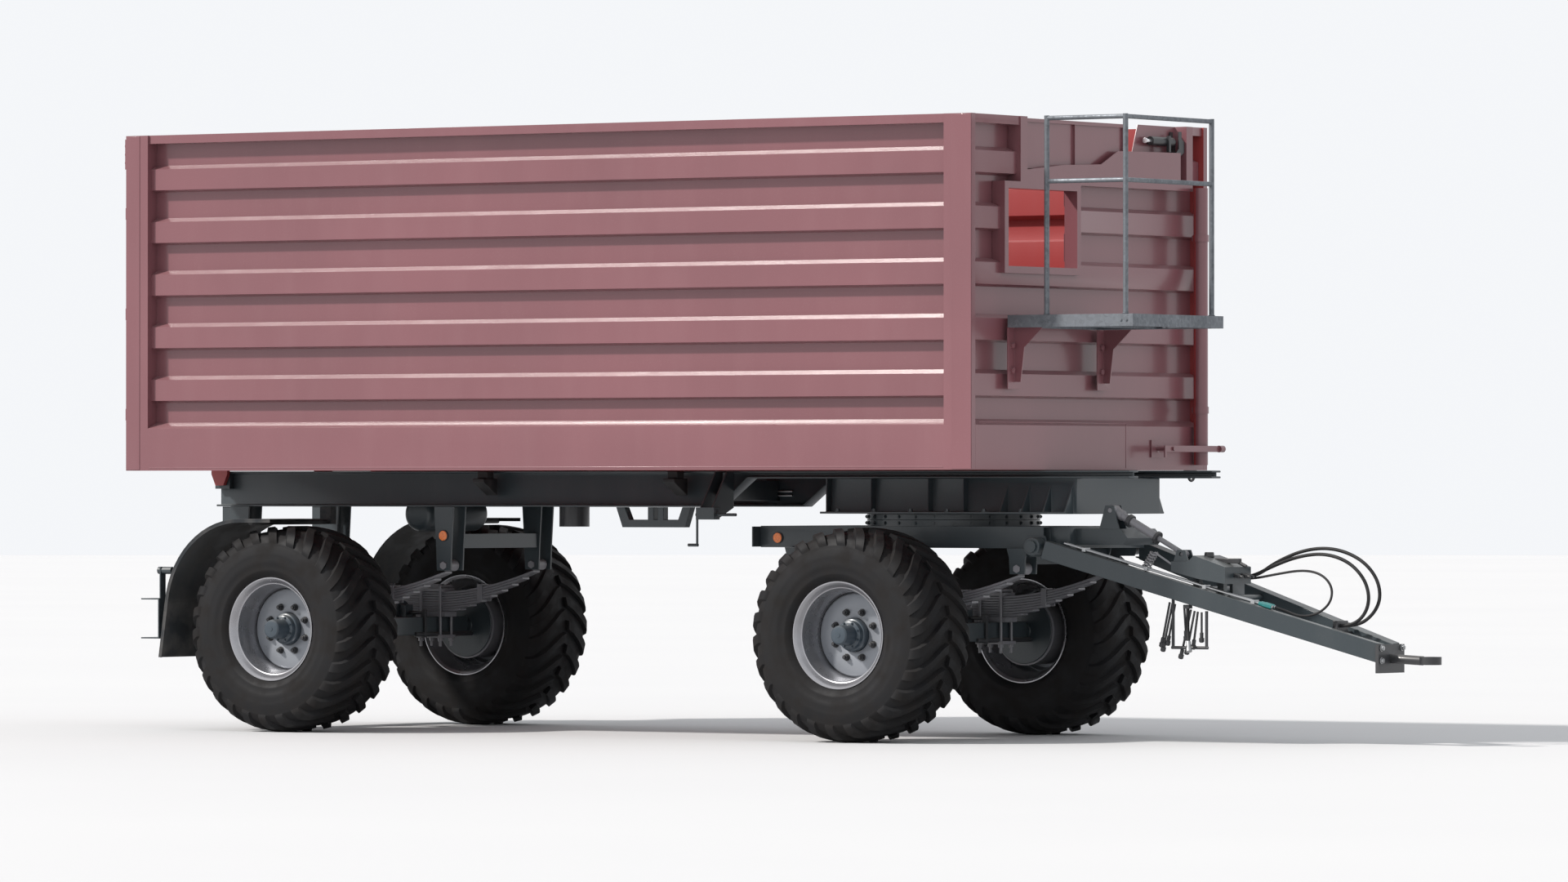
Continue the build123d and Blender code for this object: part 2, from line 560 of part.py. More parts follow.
def spring_hangers(axle_x, top, waist_z, brace_z):
    """Front and rear spring hangers of one axle on both sides, braced by cross tubes."""
    pieces = []
    for end in (-1, 1):
        x = axle_x + end * SPRING_HALF
        outline = [(x - 70, top), (x + 70, top), (x + 55, waist_z), (x + 50, SPRING_EYE_Z - 30),
                   (x - 50, SPRING_EYE_Z - 30), (x - 55, waist_z)]
        for y in ((RAIL_Y - LEAF_W / 2 - 22, RAIL_Y - LEAF_W / 2 - 10),
                  (RAIL_Y + LEAF_W / 2 + 10, RAIL_Y + LEAF_W / 2 + 22)):
            plate = plate_xz(outline, y)
            plate -= rod_y(x, SPRING_EYE_Z, (y[0] - 1, y[1] + 1), 15)
            pieces += both(plate)
        low = RAIL_Y - LEAF_W / 2 - 22
        pieces.append(box_tube((x - 35, x + 45), (-low, low), (brace_z, brace_z + 85), 5, 1))
    return pieces


def leaf_springs(axle_x):
    """Two leaf packs with eyes, pins, seats, clamp plates and U-bolts."""
    eye_drop = SPRING_EYE_Z - 30
    low = AXLE_Z + AXLE_SIDE / 2 + 30 + SPRING_LEAVES * LEAF_T
    rise = eye_drop - low
    radius = (SPRING_HALF ** 2 + rise ** 2) / (2 * rise)
    centre_z = low + radius
    profile = None
    for i in range(SPRING_LEAVES):
        half = SPRING_HALF - 12 - i * 78
        inner, outer = radius + i * LEAF_T - 1, radius + (i + 1) * LEAF_T
        band = Circle(outer) - Circle(inner)
        band = Pos(axle_x, centre_z) * band
        window = Pos(axle_x, low - 200) * Rectangle(2 * half, 900)
        leaf = band & window
        profile = leaf if profile is None else profile + leaf
    pack = extrude(Plane.XZ * profile, amount=LEAF_W / 2, both=True)
    pack = Pos(0, RAIL_Y, 0) * pack
    pieces = []
    for end in (-1, 1):
        x = axle_x + end * SPRING_HALF
        eye = rod_y(x, SPRING_EYE_Z, (RAIL_Y - LEAF_W / 2, RAIL_Y + LEAF_W / 2), 34)
        pack += eye
    for end in (-1, 1):
        x = axle_x + end * SPRING_HALF
        pack -= rod_y(x, SPRING_EYE_Z, (0, 900), 15)
        pieces += both(rod_y(x, SPRING_EYE_Z, (RAIL_Y - 75, RAIL_Y + 75), 14.9))
    top = low + 1
    seat_low = AXLE_Z + AXLE_SIDE / 2
    under = low - SPRING_LEAVES * LEAF_T
    pieces += both(pack)
    pieces += both(block((axle_x - 110, axle_x + 110), (RAIL_Y - 60, RAIL_Y + 60), (seat_low, under)))
    pieces += both(block((axle_x - 95, axle_x + 95), (RAIL_Y - 60, RAIL_Y + 60), (top + 14, top + 34)))
    plate_top = AXLE_Z - AXLE_SIDE / 2
    pieces += both(block((axle_x - 95, axle_x + 95), (RAIL_Y - 70, RAIL_Y + 70),
                         (plate_top - 18, plate_top)))
    for dx in (-72, 72):
        for dy in (-56, 56):
            pieces += both(rod((axle_x + dx, RAIL_Y + dy, plate_top - 70),
                               (axle_x + dx, RAIL_Y + dy, top + 60), 9))
    return pieces


def axle(axle_x):
    """Square axle beam with round spindles, backing plates and brake chambers."""
    beam = block((axle_x - AXLE_SIDE / 2, axle_x + AXLE_SIDE / 2), (-700, 700),
                 (AXLE_Z - AXLE_SIDE / 2, AXLE_Z + AXLE_SIDE / 2))
    for side in both(rod_y(axle_x, AXLE_Z, (699, WHEEL_Y + 105), SPINDLE_R)):
        beam += side
    for side in both(rod_y(axle_x, AXLE_Z, (WHEEL_Y - 222, WHEEL_Y - 214), DRUM_R - 6)):
        beam += side
    pieces = [beam]
    for side in both(rod((axle_x - 100, 250, AXLE_Z + 80), (axle_x - 260, 250, AXLE_Z + 80), 75)):
        pieces.append(side)
    for side in both(block((axle_x - 100, axle_x - 55), (210, 290), (AXLE_Z - 40, AXLE_Z + 130))):
        pieces.append(side)
    return pieces


def mudguard_line(inset):
    """Line of the rear mudguard's sheet in XZ, front to bottom, some way inside its outer face."""
    radius, centre_x, centre_z = 555 - inset, REAR_AXLE - 190, 707
    line = [(REAR_AXLE + 40, centre_z + radius)]
    steps = 14
    for i in range(steps + 1):
        a = radians(90 + 84 * i / steps)
        line.append((centre_x + radius * cos(a), centre_z + radius * sin(a)))
    return line + [(FRONT - 5755 + inset, 437)]


def rear_mudguard(side):
    """Rear mudguard of one side: a curved shell over the back of the wheel, with its lip and stay."""
    def band(low, high):
        return tuple(sorted((side * low, side * high)))

    shell = plate_xz(folded(mudguard_line(0), 5), band(690, HALF_W))
    lip = plate_xz(folded(mudguard_line(4), 18), band(HALF_W - 5, HALF_W - 0.5))
    stay = rod_y(REAR_AXLE - 120, 1243, band(RAIL_Y + 60, HALF_W - 20), 16)
    foot = block((REAR_AXLE - 160, REAR_AXLE - 80), band(RAIL_Y + 6, RAIL_Y + 62),
                 (RAIL_BOTTOM - 105, RAIL_BOTTOM - 1))
    return weld([shell, lip, stay, foot])


def rear_light_bar():
    """Channel across the rear that carries the lamps, on two arms under the rails."""
    x, z = LIGHT_BAR_X, LIGHT_BAR_Z
    pieces = [
        block((x[1] - 8, x[1]), (-1230, 1230), z),
        block(x, (-1230, 1230), (z[0], z[0] + 8)),
        block(x, (-1230, 1230), (z[1] - 8, z[1])),
    ]
    pieces += both(block((x[1] - 90, x[1] - 8), (RAIL_Y - 40, RAIL_Y + 40), (z[1] - 1, RAIL_BOTTOM - 1)))
    pieces += both(rod((x[1] - 30, 1190, 953), (x[1] + 70, 1190, 953), 22))
    pieces += both(block((x[1] - 8, x[1]), (1165, 1215), (z[1] - 1, 975)))
    return weld(pieces)


def rear_lamps():
    """Round and square lamps in the channel, and side reflectors on the front hangers."""
    x = (LIGHT_BAR_X[0] + 55, LIGHT_BAR_X[1] - 9)
    pieces = []
    for y in (1010, 880, 760):
        pieces += both(rod((x[0], y + 40, 667), (x[1], y + 40, 667), 52))
    hanger_x = REAR_AXLE + SPRING_HALF
    pieces += both(rod_y(hanger_x, 1162, (RAIL_Y + 68, RAIL_Y + 76), 32))
    return pieces


def air_reservoir():
    """Air tank for the brakes, strapped under a cross member."""
    x, z = FRONT - 4560, 1290
    tank = rod_y(x, z, (-300, 300), 105)
    tank = fillet(tank.edges().filter_by(GeomType.CIRCLE), 40)
    tank += rod((x, 0, z), (x, 0, z - 118), 12)
    straps = []
    for side in both(block((x - 15, x + 15), (180, 210), (z + 104, z + 190))):
        straps.append(side)
    long = block((x - 15, x + 270), (-210, 210), (z + 190, z + 196))
    return [tank, weld(straps + [long])]


def chock_carrier():
    """Trapezium frame of flat bar under the right rail."""
    y = (-RAIL_Y - 25, -RAIL_Y + 25)
    top, low = RAIL_BOTTOM - 1, 1215
    outer = [(FRONT - 2987, top), (FRONT - 2942, low), (FRONT - 2497, low), (FRONT - 2456, top)]
    inner = [(FRONT - 2927, top + 1), (FRONT - 2893, low + 45), (FRONT - 2546, low + 45),
             (FRONT - 2516, top + 1)]
    frame = plate_xz(outer, y) - plate_xz(inner, (y[0] - 1, y[1] + 1))
    for x in (-2761, -2690):
        frame += block((FRONT + x, FRONT + x + 40), y, (low + 44, top))
    return frame


def brake_crank_housing():
    """Housing of the parking brake between two brackets outside the right rail, with its pull rod."""
    y = CRANK_Y
    edge = -RAIL_Y - RAIL_FLANGE_W / 2
    housing = block((CRANK_X + 10, CRANK_X + 138), (y - 30, y + 30), (CRANK_Z - 28, CRANK_Z + 43))
    pull = rod((CRANK_X + 137, y, CRANK_Z), (CRANK_X + 273, y, CRANK_Z), 9)
    outline = [(edge, 1540), (edge, 1330), (y + 40, CRANK_Z - 20), (y - 29, CRANK_Z - 20),
               (y - 29, CRANK_Z + 42),
               (edge - 70, 1540)]
    pieces = [housing, pull]
    for along in (40, 118):
        pieces.append(plate_yz(outline, (CRANK_X + along, CRANK_X + along + 10)))
    return weld(pieces) - rod((CRANK_X, y, CRANK_Z), (CRANK_X + 60, y, CRANK_Z), 11 + RUN_GAP)


def brake_crank():
    """Crank with a long arm and a handle."""
    y = CRANK_Y
    arm = rod((CRANK_X - 6, y, CRANK_Z), (CRANK_X + 55, y, CRANK_Z), 11)
    arm += rod((CRANK_X, y, CRANK_Z), (CRANK_X, y, CRANK_Z - 178), 7)
    return arm + rod((CRANK_X + 6, y, CRANK_Z - 176), (CRANK_X - 62, y, CRANK_Z - 176), 9)


def rest_pads():
    """Rubber blocks on brackets outside the rails, level with the body's sills."""
    pieces = []
    for behind in (3864, 2500):
        x = FRONT - behind
        outline = [(RAIL_Y + 51, 1400), (RAIL_Y + 51, 1500), (RAIL_Y + 190, 1500), (RAIL_Y + 190, 1478)]
        pieces += both(plate_yz(outline, (x - 40, x + 40)))
        pieces += both(block((x - 35, x + 35), (RAIL_Y + 80, RAIL_Y + 150), (1500, 1542)))
    return pieces


# ---------------------------------------------------------------- tipping ram
def ram_cradle():
    """Two bearers between cross members with the trunnion's bores."""
    cheek = block((FRONT - 3850, FRONT - 3390), (RAM_R + 15, RAM_R + 40),
                  (RAM_TRUNNION_Z - 45, RAM_TRUNNION_Z + 45))
    cheek -= rod_y(RAM_X, RAM_TRUNNION_Z, (RAM_R, RAM_R + 60), 28 + RUN_GAP)
    return both(cheek)


def ram_barrel():
    """Outer tube of the ram with its trunnions."""
    top = RAM_EYE_Z - 62
    barrel = rod((RAM_X, 0, RAM_BOTTOM), (RAM_X, 0, top), RAM_R)
    barrel -= rod((RAM_X, 0, RAM_BOTTOM + 14), (RAM_X, 0, top + 1), RAM_R - RAM_WALL)
    for side in both(rod_y(RAM_X, RAM_TRUNNION_Z, (RAM_R - 3, RAM_R + 38), 28)):
        barrel += side
    return barrel


def ram_stage(number):
    """One telescopic stage; the last one carries the eye."""
    outer = RAM_R - RAM_STEP * number
    low = RAM_BOTTOM + 14 + 3 * number
    top = RAM_EYE_Z - 62 + 5 * number
    stage = rod((RAM_X, 0, low), (RAM_X, 0, top), outer)
    stage -= rod((RAM_X, 0, low - 1), (RAM_X, 0, top + 1), outer - RAM_WALL)
    if number == RAM_STAGES:
        stage += rod((RAM_X, 0, top - 12), (RAM_X, 0, top), outer)
        stage += rod((RAM_X, 0, top - 2), (RAM_X, 0, RAM_EYE_Z), 20)
        stage += rod_y(RAM_X, RAM_EYE_Z, (-56, 56), 20)
    return stage


# ---------------------------------------------------------------- steering bogie
def bogie_frame():
    """Rails, cross pieces and nose of the bogie, with the lower slewing ring."""
    x0, x1 = FRONT - 1960, FRONT + 105
    z = (BOGIE_BOTTOM, RING_BOTTOM)
    pieces = both(box_tube((x0, FRONT - 25), (400, 480), z, 7, 0))
    pieces += both(box_tube((FRONT - 330, x1), (335, 401), z, 7, 0))
    for ahead in (-1955, -1330, -985, -600, 15):
        pieces.append(box_tube((FRONT + ahead, FRONT + ahead + 90), (-401, 401), z, 7, 1))
    pieces.append(block((FRONT_AXLE - 350, FRONT_AXLE + 350), (-400, 400), (RING_BOTTOM - 10, RING_BOTTOM)))
    nose = [(x1, z[0] + 20), (x1, z[1] - 12), (FRONT + 400, z[1] - 12), (FRONT + 450, z[1] - 65),
            (FRONT + 420, z[0] + 20)]
    hollow = [(x1 + 8, z[0] + 28), (x1 + 8, z[1] - 20), (FRONT + 396, z[1] - 20), (FRONT + 440, z[1] - 66),
              (FRONT + 412, z[0] + 28)]
    pieces.append(plate_xz(nose, (STRUT_Y - 40, 40)) - plate_xz(hollow, (STRUT_Y - 32, 32)))
    pieces += both(block((x0 - 8, x0), (395, 560), (1105, 1222)))
    for y in (STRUT_Y - 46, STRUT_Y + 36):
        ear = plate_xz([(STRUT_TOP_X - 70, z[1] - 13), (STRUT_TOP_X - 30, STRUT_TOP_Z + 28),
                        (STRUT_TOP_X + 25, STRUT_TOP_Z + 28),
                        (STRUT_TOP_X + 60, z[1] - 13)], (y, y + 10))
        pieces.append(ear - rod_y(STRUT_TOP_X, STRUT_TOP_Z, (y - 1, y + 11), 14 + RUN_GAP))
    ring = rod((FRONT_AXLE, 0, RING_BOTTOM), (FRONT_AXLE, 0, (RING_TOP + RING_BOTTOM) / 2), RING_R)
    ring -= rod((FRONT_AXLE, 0, RING_BOTTOM - 1), (FRONT_AXLE, 0, RING_TOP + 1), RING_R - 60)
    return [weld(pieces), ring]


def bogie_hangers():
    """The bogie's spring hangers and the ears that carry the drawbar's pins."""
    pieces = spring_hangers(FRONT_AXLE, BOGIE_BOTTOM, 1050, 1010)
    x = PIVOT_X
    ear = [(x - 80, DRAWBAR_PIVOT_Z - 60), (x - 80, DRAWBAR_PIVOT_Z + 60), (x + 40, DRAWBAR_PIVOT_Z + 60),
           (x + 60, DRAWBAR_PIVOT_Z), (x + 40, DRAWBAR_PIVOT_Z - 60)]
    inner = (DRAWBAR_PIVOT_Y - DRAWBAR_BEAM_W / 2 - 10, DRAWBAR_PIVOT_Y - DRAWBAR_BEAM_W / 2 - 2)
    ear_plate = plate_xz(ear, inner)
    pin = rod_y(x, DRAWBAR_PIVOT_Z, (inner[1] - 1, DRAWBAR_PIVOT_Y + DRAWBAR_BEAM_W / 2 + 12), PIVOT_PIN_R)
    head = rod_y(x, DRAWBAR_PIVOT_Z, (DRAWBAR_PIVOT_Y + DRAWBAR_BEAM_W / 2 + 2,
                                      DRAWBAR_PIVOT_Y + DRAWBAR_BEAM_W / 2 + 14), 34)
    return pieces + both(weld([ear_plate, pin, head]))


# ---------------------------------------------------------------- drawbar


def beam_axis(share):
    """Point on the left beam's centre line, from the pivot at 0 to the nose at 1."""
    return (PIVOT_X + share * (NOSE_X - PIVOT_X),
            DRAWBAR_PIVOT_Y + share * (DRAWBAR_NOSE_Y - DRAWBAR_PIVOT_Y),
            DRAWBAR_PIVOT_Z + share * (DRAWBAR_NOSE_Z - DRAWBAR_PIVOT_Z))


def drawbar_beam():
    """Left beam of the A-frame: a box tube with a rounded eye at its rear end."""
    start = Vector(*beam_axis(0.03))
    end = Vector(*beam_axis(1))
    way = end - start
    across = Vector(-way.Y, way.X, 0).normalized()
    frame = Plane(origin=start, x_dir=across, z_dir=way)
    tube = Rectangle(DRAWBAR_BEAM_W, DRAWBAR_BEAM_H) - Rectangle(DRAWBAR_BEAM_W - 14, DRAWBAR_BEAM_H - 14)
    beam = extrude(frame * tube, amount=way.length + 60)
    y = (DRAWBAR_PIVOT_Y - DRAWBAR_BEAM_W / 2, DRAWBAR_PIVOT_Y + DRAWBAR_BEAM_W / 2)
    beam += rod_y(PIVOT_X, DRAWBAR_PIVOT_Z, y, DRAWBAR_BEAM_H / 2)
    beam -= rod_y(PIVOT_X, DRAWBAR_PIVOT_Z, (y[0] - 60, y[1] + 60), PIVOT_PIN_R + RUN_GAP)
    beam -= block((PIVOT_X - 100, PIVOT_X + 75), (y[0] - 60, y[0] - 0.5), (900, 1300))
    beam -= block((NOSE_X + 4, NOSE_X + 200), (-300, 300), (200, 900))
    beam -= block((NOSE_X - 400, NOSE_X + 100), (-200, 0.5), (200, 900))
    return beam


def drawbar_crosspiece():
    """Two tubes between the beams with the box that takes the strut's lower end."""
    rear, front = FRONT + 740, FRONT + 1095
    y = (STRUT_Y - 45, -60)
    lid = [(rear, 975), (rear, 1030), (rear + 110, 1030), (rear + 150, 1065), (front, 1000), (front, 905),
           (rear + 170, 935)]
    box = plate_xz(lid, y)
    inside = [(rear + 8, 981), (rear + 8, 1022), (rear + 114, 1022), (rear + 152, 1056), (front - 8, 994),
              (front - 8, 914),
              (rear + 172, 943)]
    box -= plate_xz(inside, (y[0] + 8, y[1] - 8))
    tubes = []
    for x, lift in ((FRONT + 800, 62), (FRONT + 960, 45)):
        half = beam_inner(x)
        z = DRAWBAR_PIVOT_Z + (x - PIVOT_X) * (DRAWBAR_NOSE_Z - DRAWBAR_PIVOT_Z) / (NOSE_X - PIVOT_X)
        tubes.append(rod_y(x, z, (-half, half), 26))
        tubes.append(block((x - 20, x + 20), (-170, -130), (z, z + lift + 60)))
    box = weld([box] + tubes)
    box += block((FRONT + 946, FRONT + 966), (-45, 85), (820, 905))
    for low in (STRUT_Y - 37, STRUT_Y + 27):
        ear = plate_xz([(STRUT_FOOT_X - 50, 1029), (STRUT_FOOT_X - 25, STRUT_FOOT_Z + 24),
                        (STRUT_FOOT_X + 25, STRUT_FOOT_Z + 24),
                        (STRUT_FOOT_X + 50, 1029)], (low, low + 10))
        box += ear - rod_y(STRUT_FOOT_X, STRUT_FOOT_Z, (low - 1, low + 11), 12 + RUN_GAP)
    return box


def beam_inner(x):
    """Half the clear width between the beams at a station."""
    share = (x - PIVOT_X) / (NOSE_X - PIVOT_X)
    return beam_axis(share)[1] - DRAWBAR_BEAM_W / 2 - 8


def towing_eye():
    """Eye with a vertical bore, its shank and the head plate on the beams' front ends."""
    x_end = FRONT + EYE_REACH
    x_eye = x_end - EYE_R
    z = 480
    ring = rod((x_eye, 0, z - EYE_T / 2), (x_eye, 0, z + EYE_T / 2), EYE_R)
    shank = rod((NOSE_X + 20, 0, z + 10), (x_eye - EYE_R + 14, 0, z), 26)
    head = block((NOSE_X + 4, NOSE_X + 24), (-145, 145), (z - 70, z + 90))
    eye = weld([ring, shank, head])
    return eye - rod((x_eye, 0, z - 60), (x_eye, 0, z + 60), EYE_BORE_R)


def drawbar_pipes():
    """Two steel pipes clipped on top of the right beam, with a joint at their front end."""
    pieces = []
    share = (PIPE_END_X - PIVOT_X) / (NOSE_X - PIVOT_X)
    for offset in (-14, 14):
        a = beam_axis(0.09)
        b = beam_axis(share)
        lift = DRAWBAR_BEAM_H / 2 + 20
        start, end = (a[0], -a[1] + offset, a[2] + lift), (b[0], -b[1] + offset, b[2] + lift)
        pieces.append(rod(start, end, 6))
        near = beam_axis(share - 0.035)
        pieces.append(rod((near[0], -near[1] + offset, near[2] + lift), end, 11))
    clips = []
    for s in (0.15, 0.33, 0.5, 0.64):
        p = beam_axis(s)
        clips.append(block((p[0] - 12, p[0] + 12), (-p[1] - 26, -p[1] + 26),
                           (p[2] + DRAWBAR_BEAM_H / 2 + 8, p[2] + DRAWBAR_BEAM_H / 2 + 30)))
    return weld(pieces + clips).solids()


def hose_stand():
    """Hoop of round bar under the right beam, where couplings are parked."""
    y = -0.62 * DRAWBAR_PIVOT_Y
    x0, x1 = FRONT + 745, FRONT + 965
    top0, top1, low = 818, 752, 545
    return weld([
        rod((x0, y, low), (x0, y, top0), 9), rod((x1, y, low), (x1, y, top1), 9),
        rod((x0 - 9, y, low), (x1 + 9, y, low), 9),
    ])


def hose_glands():
    """Clamp on the crosspiece where the hoses leave, and the clamp that holds their front ends."""
    rear_clamp = block((FRONT + 946, FRONT + 966), (-45, 85), (905, 965))
    front_clamp = block((FRONT + 1628, FRONT + 1660), (-60, 60), (640, 700))
    foot = block((FRONT + 1628, FRONT + 1660), (-104, 104), (622, 641))
    under_clip = block((HANG_X - 20, HANG_X + 20), (HANG_Y - 20, HANG_Y + 20), (HANG_Z, HANG_Z + 22))
    return [rear_clamp, weld([front_clamp, foot]), under_clip]


# Hose routes: points ahead of the body's front face, across and up.


def hose(points, radius):
    """Tube along straight runs joined by tangent arcs."""
    route = [Vector(FRONT + x, y, z) for x, y, z in points]
    radii = []
    for before, here, after in zip(route, route[1:], route[2:]):
        turn = radians((here - before).get_angle(after - here))
        run = min((here - before).length, (after - here).length)
        radii.append(0.45 * run / tan(turn / 2))
    print("hose radii", [round(r) for r in radii])
    path = FilletPolyline(*route, radius=radii)
    start = Plane(origin=route[0], z_dir=route[1] - route[0])
    return sweep(start * Circle(radius), path=path)


def coupling():
    """Quick coupling on the hanging hose's lower end."""
    end = Vector(FRONT + HOSE_HANGING[-1][0], HOSE_HANGING[-1][1], HOSE_HANGING[-1][2])
    before = Vector(FRONT + HOSE_HANGING[-2][0], HOSE_HANGING[-2][1], HOSE_HANGING[-2][2])
    way = (end - before).normalized()
    body = rod(tuple(end), tuple(end + way * 46), 13)
    return body + rod(tuple(end + way * 40), tuple(end + way * 62), 17)


def strut():
    """Barrel and rod of the strut that carries the drawbar's weight."""
    top = Vector(STRUT_TOP_X, STRUT_Y, STRUT_TOP_Z)
    foot = Vector(STRUT_FOOT_X, STRUT_Y, STRUT_FOOT_Z)
    way = (foot - top).normalized()
    barrel = rod(tuple(top + way * 18), tuple(top + way * 330), 24)
    barrel += rod(tuple(top), tuple(top + way * 70), 30)
    barrel += rod_y(STRUT_TOP_X, STRUT_TOP_Z, (STRUT_Y - 34, STRUT_Y + 34), 30)
    barrel += rod_y(STRUT_TOP_X, STRUT_TOP_Z, (STRUT_Y - 46, STRUT_Y + 46), 14)
    barrel -= rod(tuple(top + way * 90), tuple(top + way * 331), 15 + RUN_GAP)
    piston = rod(tuple(top + way * 200), tuple(foot - way * 14), 15)
    piston += rod_y(STRUT_FOOT_X, STRUT_FOOT_Z, (STRUT_Y - 24, STRUT_Y + 24), 20)
    return barrel, piston


# ---------------------------------------------------------------- wheels
def tyre(axle_x):
    """Left tyre as a hollow carcass of its outer shape."""
    outer = TYRE_D / 2
    half = TYRE_W / 2
    line = [(-RIM_W / 2 + 14, RIM_SEAT_R + 8), (-RIM_W / 2 + 2, RIM_FLANGE_R + 14), (-half, outer - 210),
            (-half + 8, outer - 70),
            (-half + 48, outer - 14), (-half + 120, outer)]
    line += [(-y, r) for y, r in line[::-1]]
    inner = [(-RIM_W / 2 + 40, RIM_SEAT_R + 4), (-half + 26, outer - 200), (-half + 60, outer - 50),
             (0, outer - 34)]
    inner += [(-y, r) for y, r in inner[:-1][::-1]]
    outline = [(0, WHEEL_Y + y, r) for y, r in line + inner[::-1]]
    face = make_face(Polyline(*outline, close=True))
    return Pos(axle_x, 0, AXLE_Z) * revolve(face, axis=Axis.Y)


def wheel(axle_x):
    """Left rim with its disc, the hub with its drum, and the wheel nuts."""
    edge = RIM_W / 2
    line = [(-edge, RIM_FLANGE_R), (-edge + 14, RIM_SEAT_R + 4), (-edge + 60, RIM_SEAT_R),
            (-edge + 110, RIM_WELL_R), (edge - 110, RIM_WELL_R), (edge - 60, RIM_SEAT_R),
            (edge - 14, RIM_SEAT_R + 4), (edge, RIM_FLANGE_R)]
    section = [(0, WHEEL_Y + y, r) for y, r in folded(line, -RIM_T)]
    rim = revolve(make_face(Polyline(*section, close=True)), axis=Axis.Y)
    disc_y = WHEEL_Y + edge - DISC_IN
    disc = rod_y(0, 0, (disc_y - 14, disc_y), RIM_WELL_R - RIM_T + 2)
    rim += disc - rod_y(0, 0, (disc_y - 15, disc_y + 1), HUB_R + 1)
    hub = rod_y(0, 0, (disc_y - 60, disc_y + 62), HUB_R)
    hub += rod_y(0, 0, (disc_y - 36, disc_y - 16), 170)
    hub += rod_y(0, 0, (disc_y + 61, disc_y + DISC_IN - 2), CAP_R)
    hub += rod_y(0, 0, (WHEEL_Y - 210, disc_y - 34), DRUM_R)
    hub -= rod_y(0, 0, (WHEEL_Y - 211, disc_y - 56), DRUM_R - 16)
    hub += rod_y(0, 0, (WHEEL_Y - 120, disc_y - 34), SPINDLE_R + 22)
    hub -= rod_y(0, 0, (WHEEL_Y - 211, WHEEL_Y + 108), SPINDLE_R + RUN_GAP)
    nuts = []
    for i in range(STUD_COUNT):
        a = 2 * pi * i / STUD_COUNT
        x, z = STUD_PCD / 2 * cos(a), STUD_PCD / 2 * sin(a)
        rim -= rod_y(x, z, (disc_y - 20, disc_y + 10), 13)
        hub += rod_y(x, z, (disc_y - 20, disc_y + 4), 10)
        nut = Pos(x, disc_y + 14, z) * Rot(90, 0, 0) * extrude(RegularPolygon(18, 6), amount=12, both=True)
        nuts.append(nut - rod_y(x, z, (disc_y, disc_y + 40), 10))
        hub += rod_y(x, z, (disc_y + 3, disc_y + 34), 9.9)
    return [Pos(axle_x, 0, AXLE_Z) * piece for piece in [rim, hub] + nuts]


# ---------------------------------------------------------------- build
def main():
    os.makedirs("parts", exist_ok=True)
    wall = side_wall()
    save("side_wall_left", wall)
    save("side_wall_right", mirror(wall, about=Plane.XZ))
    save("front_wall", front_wall(), lever_bracket(), *corner_tube())
    save("body_floor", body_floor())
    save("front_flap", front_flap())
    save("flap_lock_cylinder", *flap_lock_cylinder())
    save("flap_lock_bolt", flap_lock_bolt())
    save("lock_lever", lock_lever())
    save("tailgate", tailgate())
    save("grain_slide", grain_slide())
    save("platform_frame", platform_frame())
    save("platform_grating", platform_grating())
    save("platform_railing", platform_railing())

    rail = frame_rail()
    save("frame_rail_left", rail)
    save("frame_rail_right", mirror(rail, about=Plane.XZ))
    save("frame_cross_members", *frame_cross_members(), *ram_cradle())
    save("turntable_support", *turntable_support())
    save("rear_spring_hangers", *spring_hangers(REAR_AXLE, RAIL_BOTTOM, 1087, 1087))
    save("rear_springs", *leaf_springs(REAR_AXLE))
    save("rear_axle", *axle(REAR_AXLE))
    save("rear_mudguards", rear_mudguard(1), rear_mudguard(-1))
    save("rear_light_bar", rear_light_bar())
    save("rear_lamps", *rear_lamps())
    save("air_reservoir", *air_reservoir())
    save("chock_carrier", chock_carrier())
    save("brake_crank_housing", brake_crank_housing())
    save("brake_crank", brake_crank())
    save("body_rest_pads", *rest_pads())

    save("ram_barrel", ram_barrel())
    for number in range(1, RAM_STAGES + 1):
        save(f"ram_stage_{number}", ram_stage(number))

    save("bogie_frame", *bogie_frame())
    save("bogie_hangers", *bogie_hangers())
    save("front_springs", *leaf_springs(FRONT_AXLE))
    save("front_axle", *axle(FRONT_AXLE))

    beam = drawbar_beam()
    save("drawbar_beam_left", beam)
    save("drawbar_beam_right", mirror(beam, about=Plane.XZ))
    save("drawbar_crosspiece", drawbar_crosspiece())
    save("towing_eye", towing_eye())
    save("drawbar_pipes", *drawbar_pipes())
    save("hose_stand", hose_stand())
    save("hose_clamps", *hose_glands())
    save("hose_outer", hose(HOSE_OUTER, HOSE_R))
    save("hose_inner", hose(HOSE_INNER, HOSE_R))
    save("hose_small", hose(HOSE_SMALL, SMALL_R))
    save("hose_hanging", hose(HOSE_HANGING, HOSE_R))
    save("hose_coupling", coupling())
    barrel, piston = strut()
    save("strut_barrel", barrel)
    save("strut_rod", piston)

    for place, x in (("front", FRONT_AXLE), ("rear", REAR_AXLE)):
        for side, turn in (("left", False), ("right", True)):
            carcass = tyre(x)
            pieces = wheel(x)
            if turn:
                carcass = mirror(carcass, about=Plane.XZ)
                pieces = [mirror(piece, about=Plane.XZ) for piece in pieces]
            save(f"tyre_{place}_{side}", carcass)
            save(f"wheel_{place}_{side}", *pieces)


main()
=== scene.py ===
from math import cos, pi, radians, sin

import bmesh
import bpy
from mathutils import Matrix, Vector


